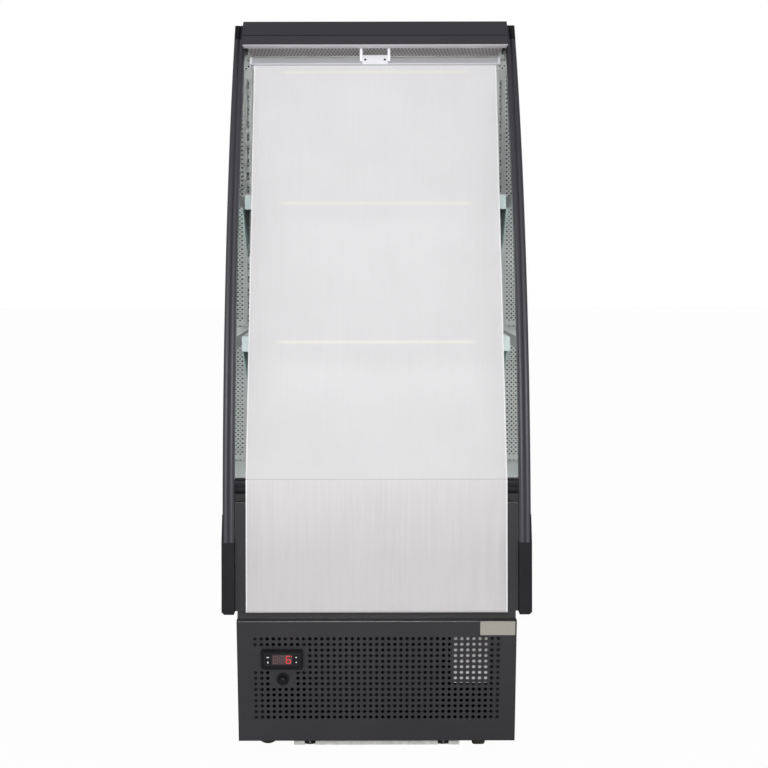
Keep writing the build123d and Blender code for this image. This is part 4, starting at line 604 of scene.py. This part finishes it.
def grille_folds():
    """The flanges folded back from the front, a strip along each side and one along the foot, and the
    ledge's thin sheet from the front's top edge back to the well."""
    depth = 12.0 * MM
    inner = GRILLE_HALF - GRILLE_WALL
    side = prism(rectangle(0, GRILLE_WALL, -GRILLE_LENGTH, 0), -depth, -GRILLE_WALL)
    foot_strip = prism(rectangle(-inner, inner, 0, GRILLE_WALL), -depth, -GRILLE_WALL)
    folds = joined(on_grille(side, -GRILLE_HALF, 0.0), on_grille(side, inner, 0.0),
                   on_grille(foot_strip, 0.0, GRILLE_LENGTH))
    piece("grille_folds", folds, anthracite)
    set_back, sunk, raised = 0.2 * MM, 0.1 * MM, 0.6 * MM
    y, z = float(grille_top[1]), float(grille_top[2])
    section = rectangle(y + set_back, float(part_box("well_tub")[0][1]), z - sunk, z + raised)
    piece("ledge_flange", along_x(section, -GRILLE_HALF, GRILLE_HALF), ledge_painted_light)


grille_sheet()
grille_folds()

# ---------------------------------------------------------------- controller, switch and badge plate
CONTROLLER_X = -187.0 * MM
CONTROLLER_DOWN = FIRST_ROW + 3.5 * HOLE_PITCH
SWITCH_X = -186.0 * MM
SWITCH_DOWN = FIRST_ROW + 7.1 * HOLE_PITCH
FACE = 5.0 * MM
DIGIT = (10.0 * MM, 17.0 * MM)
DIGIT_STROKE = 1.7 * MM
# A segment is drawn a little smaller about its digit's middle, which leaves a gap to the next.
SEGMENT_SHARE = 0.97
SEGMENT_RISE = 0.12 * MM
DISPLAY_X = -0.5 * MM
KEY_X = 28.0 * MM
KEY_UP = 5.3 * MM
KEY_RISE = 0.8 * MM
BADGE_X = 238.5 * MM
BADGE_DOWN = 14.9 * MM


def bar_between(start, end, width):
    """The outline of one display segment: a bar between two points, pointed at both ends."""
    start, end = np.array(start), np.array(end)
    run = (end - start) / np.linalg.norm(end - start)
    aside = np.array([-run[1], run[0]]) * width / 2
    near, far = start + run * width / 2, end - run * width / 2
    return np.array([start, near - aside, far - aside, end, far + aside, near + aside])


def segments(letters, centre):
    """The chosen segments of a seven-segment digit, named a to g from the top round clockwise."""
    half_w, half_h = DIGIT[0] / 2 - DIGIT_STROKE / 2, DIGIT[1] / 2 - DIGIT_STROKE / 2
    ends = {"a": (-1, 1, 1, 1), "b": (1, 0, 1, 1), "c": (1, -1, 1, 0), "d": (-1, -1, 1, -1),
            "e": (-1, -1, -1, 0), "f": (-1, 0, -1, 1), "g": (-1, 0, 1, 0)}
    shapes = []
    for letter in letters:
        x1, y1, x2, y2 = ends[letter]
        line = bar_between((x1 * half_w, y1 * half_h), (x2 * half_w, y2 * half_h), DIGIT_STROKE)
        shapes.append(prism(line * SEGMENT_SHARE + np.array(centre), 0.0, SEGMENT_RISE))
    return shapes


def on_controller(shape, x=0.0, up=0.0, proud=0.0):
    """A flat shape on the controller's face."""
    return on_grille(shape, CONTROLLER_X + x, CONTROLLER_DOWN - up, FACE + proud)


def controller_front():
    """The raised glossy frame round the controller's face and its display: one lit digit and its dot,
    the unlit segments beside it."""
    ring = frame_ring(rounded(83.0 * MM, 40.0 * MM, 4.0 * MM), rounded(72.0 * MM, 29.0 * MM, 2.0 * MM),
                      -1.0 * MM, 1.6 * MM)
    piece("controller_frame", on_controller(ring), gloss_black)
    dot_points, dot_faces = lathed([(1.0 * MM, 0.0), (1.0 * MM, SEGMENT_RISE)], 12)
    dot = (dot_points + np.array([19.3 * MM, 6.2 * MM, 0.0]), dot_faces)
    lit = joined(*segments("acdefg", (13.0 * MM, 0.0)), dot)
    piece("lit_digit", on_controller(lit, DISPLAY_X), digit_glow)
    unlit = joined(*segments("abcdefg", (-12.5 * MM, 0.0)), *segments("abcdefg", (0.0, 0.0)))
    piece("unlit_digits", on_controller(unlit, DISPLAY_X), unlit_segment)


def key_icons():
    """A small raised mark on each key: a dash, a drop, a lozenge and an arrow down, in millimetres, with a
    faint painted glow.
    """
    dash = rectangle(-2.4, 2.4, -0.9, 0.9)
    drop = circle(10) * (1.5, 1.9)
    lozenge = [(0.0, -1.6), (1.6, 0.0), (0.0, 1.6), (-1.6, 0.0)]
    arrow = [(0.0, -1.6), (1.8, 1.2), (-1.8, 1.2)]
    for name, outline, side, level in (("left_upper", dash, -1, 1), ("left_lower", drop, -1, -1),
                                       ("right_upper", lozenge, 1, 1), ("right_lower", arrow, 1, -1)):
        mark = on_controller(prism(np.array(outline) * MM, 0.0, 0.15 * MM), side * KEY_X, level * KEY_UP,
                             KEY_RISE)
        piece(f"icon_{name}", mark, icon_painted_glow, body=f"key_{name}")


def switch_boot():
    """The rubber dome over the switch: half an ellipse turned about the button's axis."""
    radius, height, skirt, proud = 8.0 * MM, 5.0 * MM, 0.6 * MM, 6.5 * MM
    dome = [(radius * cos(turn), height * sin(turn)) for turn in np.linspace(0, pi / 2 * 0.92, 9)]
    boot = on_grille(lathed([(radius, -skirt)] + dome, 32), SWITCH_X, SWITCH_DOWN, proud)
    piece("switch_boot", boot, gloss_black, body="switch_button", smooth=True)


def wiring_box_lid():
    """The wiring box's lid, a little wider than the box and in front of it."""
    width, thickness, aside, sunk = 71.0 * MM, 6.0 * MM, 2.5 * MM, 0.2 * MM
    box_low, box_high = np.array(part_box("wiring_box"))
    middle = (box_low + box_high) / 2
    points, faces = prism(rounded(width, float(box_high[2] - box_low[2]), 3.0 * MM), 0.0, thickness)
    place = (float(middle[0]) + aside, float(box_low[1]) + sunk, float(middle[2]))
    lid = placed(points, place, (1, 0, 0), (0, 0, 1), (0, -1, 0))
    piece("wiring_box_lid", (lid, faces), box_white)


def badge_plate():
    """The bare plate at the front's upper right corner."""
    plate = prism(rounded(69.0 * MM, 29.0 * MM, 2.0 * MM), 0.0, 1.2 * MM)
    made = piece("badge_plate", on_grille(plate, BADGE_X, BADGE_DOWN), bare_plate)
    edge = made.modifiers.new("edge", "BEVEL")
    edge.width = 0.35 * MM
    edge.segments = 2


controller_front()
key_icons()
switch_boot()
wiring_box_lid()
badge_plate()

# ---------------------------------------------------------------- air outlet honeycomb
cells_low, cells_high = np.array(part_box("air_outlet_honeycomb"))


def outlet_cells():
    """The outlet's honeycomb: hexagon cells in staggered rows, each a ring of six quads between the cell's
    border and its opening, inside the CAD block's rectangle."""
    pitch, wall = 6.7 * MM, 0.7 * MM
    row_step = pitch * sin(radians(60))
    rows = int((cells_high[1] - cells_low[1] - pitch) / row_step)
    columns = int((cells_high[0] - cells_low[0] - 1.5 * pitch) / pitch)
    turns = radians(30) + np.arange(6) * pi / 3
    out = np.stack([np.cos(turns), np.sin(turns)], axis=1)
    row, column = np.mgrid[0:rows, 0:columns]
    x = (column - (columns - 1) / 2 + (row % 2) / 2 - 0.25) * pitch
    y = (cells_low[1] + cells_high[1]) / 2 + (row - (rows - 1) / 2) * row_step
    centre = np.stack([x, y], axis=-1).reshape(-1, 1, 2)
    border = pitch / 2 / cos(radians(30))
    cells = ringed_cells(centre + border * out, centre + (border - wall) * out, cells_low[2])
    made = piece("outlet_honeycomb", cells, outlet_cell_shade)
    thicken(made, float(cells_high[2] - cells_low[2]))
    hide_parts("air_outlet_honeycomb")


outlet_cells()

# ---------------------------------------------------------------- back panels and ceiling
duct_low, duct_high = np.array(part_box("duct_panels"))
LINER_HALF = float(duct_high[0])
DECK_TOP = float(duct_low[2])
SHELF_TOPS = (846.0 * MM, 1135.0 * MM)
CEILING = float(duct_high[2])
SHEET = 1.5 * MM


def back_panel(name, low, high):
    """One perforated panel behind the shelves: round holes of 4.4 mm at a pitch of 10 mm in each direction,
    with a plain rim, and a small gap to the next panel."""
    pitch, radius, gap = 10.0 * MM, 2.2 * MM, 0.3 * MM
    columns = int((2 * LINER_HALF - 2.4 * pitch) / pitch)
    rows = int((high - low - 2.4 * pitch) / pitch)
    across_edges = (np.arange(columns + 1) - columns / 2) * pitch
    up_edges = (low + high) / 2 + (np.arange(rows + 1) - rows / 2) * pitch
    u_edges = np.concatenate([[-LINER_HALF], across_edges, [LINER_HALF]])
    v_edges = np.concatenate([[low + gap], up_edges, [high - gap]])
    holes = np.zeros((rows + 2, columns + 2), bool)
    holes[1:-1, 1:-1] = True
    points, faces = punched(u_edges, v_edges, holes, radius, 12)
    panel = placed(points, (0.0, float(duct_high[1]) - SHEET, 0.0), (1, 0, 0), (0, 0, 1))
    made = piece(name, (panel, tidy_faces(faces)), white_sheet)
    thicken(made, SHEET)
    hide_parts("duct_panels")


def ceiling_panel():
    """The ceiling: up behind the outlet, then back to the perforated panels."""
    front, back = float(duct_low[1]), float(duct_high[1])
    low, under = float(cells_high[2]), CEILING - SHEET
    section = [(front, low), (front + SHEET, low), (front + SHEET, under), (back, under), (back, CEILING),
               (front, CEILING)]
    piece("ceiling_panel", along_x(section, -LINER_HALF, LINER_HALF), white_sheet)


back_panel("back_panel_low", DECK_TOP, SHELF_TOPS[0])
back_panel("back_panel_middle", SHELF_TOPS[0], SHELF_TOPS[1])
back_panel("back_panel_top", SHELF_TOPS[1], CEILING - SHEET)
ceiling_panel()

# ---------------------------------------------------------------- lamps
LAMP_MIDDLE = 12.0 * MM
LAMP_HALF = 227.5 * MM
LAMP_PLACES = ((-183.0 * MM, 844.5 * MM), (-98.0 * MM, 1133.5 * MM), (110.0 * MM, 1440.0 * MM))


def light_strips():
    """The three light strips: a flat base, a half-round diffuser hung below it and a cap at each end."""
    radius, base_drop, cap, skin = 8.0 * MM, 6.0 * MM, 3 * MM, 0.4 * MM
    left, right = LAMP_MIDDLE - LAMP_HALF, LAMP_MIDDLE + LAMP_HALF
    turns = pi + np.linspace(0, pi, 17)
    bases, diffusers, caps = [], [], []
    for y, ceiling in LAMP_PLACES:
        low = ceiling - base_drop
        bases.append(along_x(rectangle(y - radius, y + radius, low, ceiling), left, right))
        bow, end = ([(y + reach * cos(turn), low + reach * sin(turn)) for turn in turns]
                    for reach in (radius - skin, radius))
        diffusers.append(along_x(bow, left + cap, right - cap))
        caps += [along_x(end, first, first + cap) for first in (left, right - cap)]
    piece("lamp_bases", joined(*bases), white_plastic)
    made = piece("lamp_diffusers", joined(*diffusers), lamp_glow)
    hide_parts("lamps")
    piece("lamp_end_caps", joined(*caps), white_plastic)


light_strips()

# ---------------------------------------------------------------- screws, nuts and folds
SCREW = [(3.4 * MM, -0.3 * MM), (3.4 * MM, 0.5 * MM), (2.6 * MM, 1.3 * MM), (1.5 * MM, 1.6 * MM),
         (1.3 * MM, 0.9 * MM)]
NUT = [(6.0 * MM, -0.2 * MM), (6.0 * MM, 3.2 * MM), (4.6 * MM, 4.0 * MM)]
HUB = [(15.5 * MM, -0.4 * MM), (15.5 * MM, 0.5 * MM), (13.6 * MM, 0.7 * MM), (13.0 * MM, 0.2 * MM),
       (7.0 * MM, 0.2 * MM), (6.4 * MM, 0.7 * MM)]
STUD = [(1.7 * MM, 0.0), (1.7 * MM, 40.0 * MM), (1.2 * MM, 40.5 * MM)]
PLATE_SCREW = [(2.3 * MM, -2.4 * MM), (2.3 * MM, -0.4 * MM), (1.2 * MM, -0.2 * MM)]
# From a sheet's edge to its screws; of the rear wall's inner screws and of the tray's mounts from the middle.
SCREW_RIM = 14.0 * MM
INNER_SCREW_X = 0.09
MOUNT_X = 0.134
# The holes of the pull handle's plate: X on both sides, then Y and Z.
HANDLE_HOLE = (20.5 * MM, -75.8 * MM, 1421.9 * MM)
# The level of the canopy's fold below its top, and of the well panel's fold.
CANOPY_FOLD_DROP = 0.035
PANEL_FOLD = 0.527
# For each set of castors: the body that carries its nuts, its axle's direction and its wheels' middles.
AXLES = {"left": ("castor_left", (0.0, 1.0, 0.0), {"wheel_front_left": (-0.224, -0.121, 0.025)}),
         "right": ("castor_right", (1.0, 0.0, 0.0), {"wheel_front_right": (0.210, -0.135, 0.025)}),
         "rear": ("cabinet", (1.0, 0.0, 0.0), {"wheel_rear_left": (-0.210, 0.244, 0.025),
                                               "wheel_rear_right": (0.210, 0.244, 0.025)})}
NUT_REACH = 16.5 * MM
HUB_REACH = 13.0 * MM


def fixings():
    """Pan-head screws on the rear wall, the louvred rear panel and the roof, and a stud in front of each
    of the tray's mounts."""
    screw, rim = lathed(SCREW, 16), SCREW_RIM
    rear_low, rear_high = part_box("rear_wall")
    ends = (rear_low[2] + rim, rear_high[2] - rim)
    places = [(x, rear_high[1], z) for x in (rear_low[0] + rim, rear_high[0] - rim)
              for z in np.linspace(*ends, 7)]
    places += [(x, rear_high[1], z) for x in (-INNER_SCREW_X, INNER_SCREW_X) for z in ends]
    grid_low, grid_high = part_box("rear_grille")
    places += [(x, grid_high[1], z) for x in (grid_low[0] + rim, 0.0, grid_high[0] - rim)
               for z in (grid_low[2] + rim, grid_high[2] - rim)]
    piece("rear_screws", repeated(screw, places, (0.0, 1.0, 0.0)), zinc_plate)
    roof_low, roof_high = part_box("roof_panel")
    places = [(x, y, roof_high[2]) for x in (roof_low[0] + rim, roof_high[0] - rim)
              for y in np.linspace(roof_low[1] + 2 * rim, roof_high[1] - 2 * rim, 4)]
    piece("roof_screws", repeated(screw, places, (0.0, 0.0, 1.0)), zinc_plate)
    y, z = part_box("under_tray")[0][1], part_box("rubber_mounts")[0][2] + 2 * MM
    studs = repeated(lathed(STUD, 12), [(x, y, z) for x in (-MOUNT_X, MOUNT_X)], (0.0, 0.0, 1.0))
    piece("mount_studs", studs, zinc_plate, smooth=True)


def handle_screws():
    """The two dark screws sunk in the holes of the pull handle's plate."""
    x, y, z = HANDLE_HOLE
    screws = repeated(lathed(PLATE_SCREW, 20), [(-x, y, z), (x, y, z)], out_of_blind)
    piece("handle_screws", screws, black_plastic, body="blind_bar")


def castor_nuts():
    """A nut at each end of the four axles, on the fork that carries it."""
    for name, (body, axis, wheels) in AXLES.items():
        nuts = at_both_ends(lathed(NUT, 6), wheels.values(), axis, NUT_REACH)
        piece(f"axle_nuts_{name}", nuts, zinc_plate, body=body)


def wheel_hubs():
    """A raised hub disc with a stepped rim on both faces of each wheel."""
    for _, axis, wheels in AXLES.values():
        for wheel, centre in wheels.items():
            hubs = at_both_ends(lathed(HUB, 40), [centre], axis, HUB_REACH)
            piece(f"{wheel}_hubs", hubs, hub_plastic, body=wheel)


def fold_edges():
    """The small outer rounds of the folded sheets: a thin round bar along each fold, sunk into it. The
    canopy's bar is near black as painted shade; the ledge's and the well panel's are paler as a painted
    highlight.
    """
    radius, sunk, short = 1.1 * MM, 0.55 * MM, 0.5 * MM
    turns = 2 * pi * np.arange(12) / 12
    panel_low, panel_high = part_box("well_panel")
    canopy_low, canopy_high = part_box("canopy")
    folds = {"canopy_fold": (canopy_low[1], canopy_high[2] - CANOPY_FOLD_DROP, canopy_high[0], canopy_fold_shade),
             "ledge_fold": (grille_top[1], grille_top[2], GRILLE_HALF, fold_painted_highlight),
             "panel_fold": (panel_low[1], PANEL_FOLD, panel_high[0], fold_painted_highlight)}
    for name, (y, z, half, coat) in folds.items():
        section = [(y + sunk + radius * cos(turn), z - sunk + radius * sin(turn)) for turn in turns]
        piece(name, along_x(section, -half + short, half - short), coat)


fixings()
handle_screws()
castor_nuts()
wheel_hubs()
fold_edges()

# ---------------------------------------------------------------- finishes of the CAD pieces
CAD_FINISHES = {
    anthracite: ("well_panel", "rear_grille"),
    inside_housing_shade: ("base_housing",),
    controller_face: ("controller_case",),
    box_white: ("wiring_box",),
    canopy_coat_and_highlight: ("canopy", "roof_panel"),
    side_skin: ("side_panels", "rear_wall"),
    trim_plastic: ("side_trims",),
    black_plastic: ("side_mouldings", "bumper", "switch_bezel", "switch_button",
                    "key_left_lower", "key_left_upper", "key_right_lower", "key_right_upper", "cable_gland"),
    mirror_steel: ("side_mirrors",),
    grey_lip: ("canopy_lip",),
    white_sheet: ("shelves", "base_deck", "return_air_grille", "evaporator_fan_plate"),
    tub_skin: ("well_tub",),
    upright_paint: ("shelf_uprights",),
    teal_paint: ("shelf_brackets",),
    white_plastic: ("pull_handle", "condensate_tray"),
    rail_plastic: ("price_rails",),
    bar_aluminium: ("pull_bar",),
    satin_aluminium: ("blind_roller",),
    galvanised: ("under_tray", "condenser_fan_shroud"),
    fan_plastic: ("evaporator_fan_left", "evaporator_fan_right", "condenser_fan", "evaporator_fan_motors",
                  "condenser_fan_motor"),
    compressor_coat: ("compressor",),
    copper_pipe: ("pipework",),
    black_rubber: ("rubber_mounts", "blind_brackets"),
    olive_tread: ("wheel_front_right", "wheel_front_left", "wheel_rear_left", "wheel_rear_right"),
    dull_steel: ("castor_plates", "castor_fork_left", "castor_fork_right"),
    coil_fins: ("evaporator_coil",),
    near_black_fins: ("condenser_coil",),
    display_black: ("controller_window",),
}
for material, names in CAD_FINISHES.items():
    for name in names:
        cad_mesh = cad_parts[name].data
        cad_mesh.materials.clear()
        cad_mesh.materials.append(material)

# ---------------------------------------------------------------- floor, backdrop, lamps and camera
# The floor's whiteness to the camera; the rest is its own shaded paint.
FLOOR_WHITE = 0.97
CAMERA_HEIGHT = 1.0
CAMERA_DISTANCE = 3.392
LENS = 73.85
SHIFT_X = 0.0236
SHIFT_Y = -0.1615
CAMERA_SIDE = -0.02
CAMERA_ROLL = radians(0.10)


def studio_floor():
    """A wide pale floor that keeps the fridge's shadow; to the camera it is nearly as white as the
    backdrop."""
    half = 30.0
    mesh = bpy.data.meshes.new("studio_floor")
    mesh.from_pydata([(x, y, 0) for x, y in rectangle(-half, half, -half, half)], [], [(0, 1, 2, 3)])
    material, tree, output = blank_material("studio_floor_paint")
    fine = spread(tree, noise(tree, object_place(tree), 2.0), 0.3, 0.7, 0.93, 0.95)
    tone = node(tree, "ShaderNodeCombineColor", {"Red": fine, "Green": fine, "Blue": fine})
    matt = node(tree, "ShaderNodeBsdfDiffuse", {"Color": tone.outputs["Color"]})
    seen = node(tree, "ShaderNodeEmission", {"Color": (1.0, 1.0, 1.0, 1.0), "Strength": 1.0})
    path = node(tree, "ShaderNodeLightPath")
    share = maths(tree, "MULTIPLY", path.outputs["Is Camera Ray"], FLOOR_WHITE)
    tree.links.new(blend(tree, share, matt, seen), output.inputs["Surface"])
    mesh.materials.append(material)
    floor = bpy.data.objects.new("studio_floor", mesh)
    bpy.context.scene.collection.objects.link(floor)


def studio_world():
    """A soft grey surround, white where the camera looks at it, also through a clear sheet."""
    world = bpy.data.worlds.new("studio_world")
    world.use_nodes = True
    tree = world.node_tree
    tree.nodes.clear()
    output = tree.nodes.new("ShaderNodeOutputWorld")
    soft = node(tree, "ShaderNodeBackground", {"Color": (0.98, 0.98, 1.0, 1.0), "Strength": 0.42})
    white = node(tree, "ShaderNodeBackground", {"Color": (1.0, 1.0, 1.0, 1.0), "Strength": 1.0})
    path = node(tree, "ShaderNodeLightPath").outputs
    seen = maths(tree, "MAXIMUM", path["Is Camera Ray"], path["Is Transmission Ray"])
    tree.links.new(blend(tree, seen, soft, white), output.inputs["Surface"])
    bpy.context.scene.world = world


def soft_box(name, place, aim, size, watts):
    """An area lamp at a place, turned to face a point."""
    lamp = bpy.data.lights.new(name, "AREA")
    lamp.shape = "RECTANGLE"
    lamp.size, lamp.size_y = size
    lamp.energy = watts
    made = bpy.data.objects.new(name, lamp)
    bpy.context.scene.collection.objects.link(made)
    made.location = place
    made.rotation_euler = Vector(np.array(aim) - np.array(place)).to_track_quat("-Z", "Y").to_euler()


def photo_camera():
    """The photograph's view: level, a little above the middle, with the frame shifted down."""
    lens = bpy.data.cameras.new("photo_camera")
    lens.lens = LENS
    lens.sensor_width = 36.0
    lens.shift_x = SHIFT_X
    lens.shift_y = SHIFT_Y
    lens.clip_end = 100.0
    made = bpy.data.objects.new("photo_camera", lens)
    bpy.context.scene.collection.objects.link(made)
    made.location = (CAMERA_SIDE, -CAMERA_DISTANCE, CAMERA_HEIGHT)
    made.rotation_euler = (radians(90), CAMERA_ROLL, 0.0)
    bpy.context.scene.camera = made


studio_floor()
studio_world()
soft_box("key_softbox", (-1.6, -3.2, 2.6), (0.0, 0.0, 0.8), (2.4, 2.4), 24.0)
soft_box("fill_softbox", (2.2, -2.8, 1.6), (0.0, 0.0, 0.7), (2.0, 2.4), 8.0)
soft_box("lamp_at_camera", (CAMERA_SIDE, -3.5, 1.3), (0.0, 0.0, 1.0), (0.6, 0.6), 49.0)
photo_camera()
bpy.context.scene.view_settings.view_transform = "Standard"

# ---------------------------------------------------------------- scene update
bpy.context.view_layer.update()
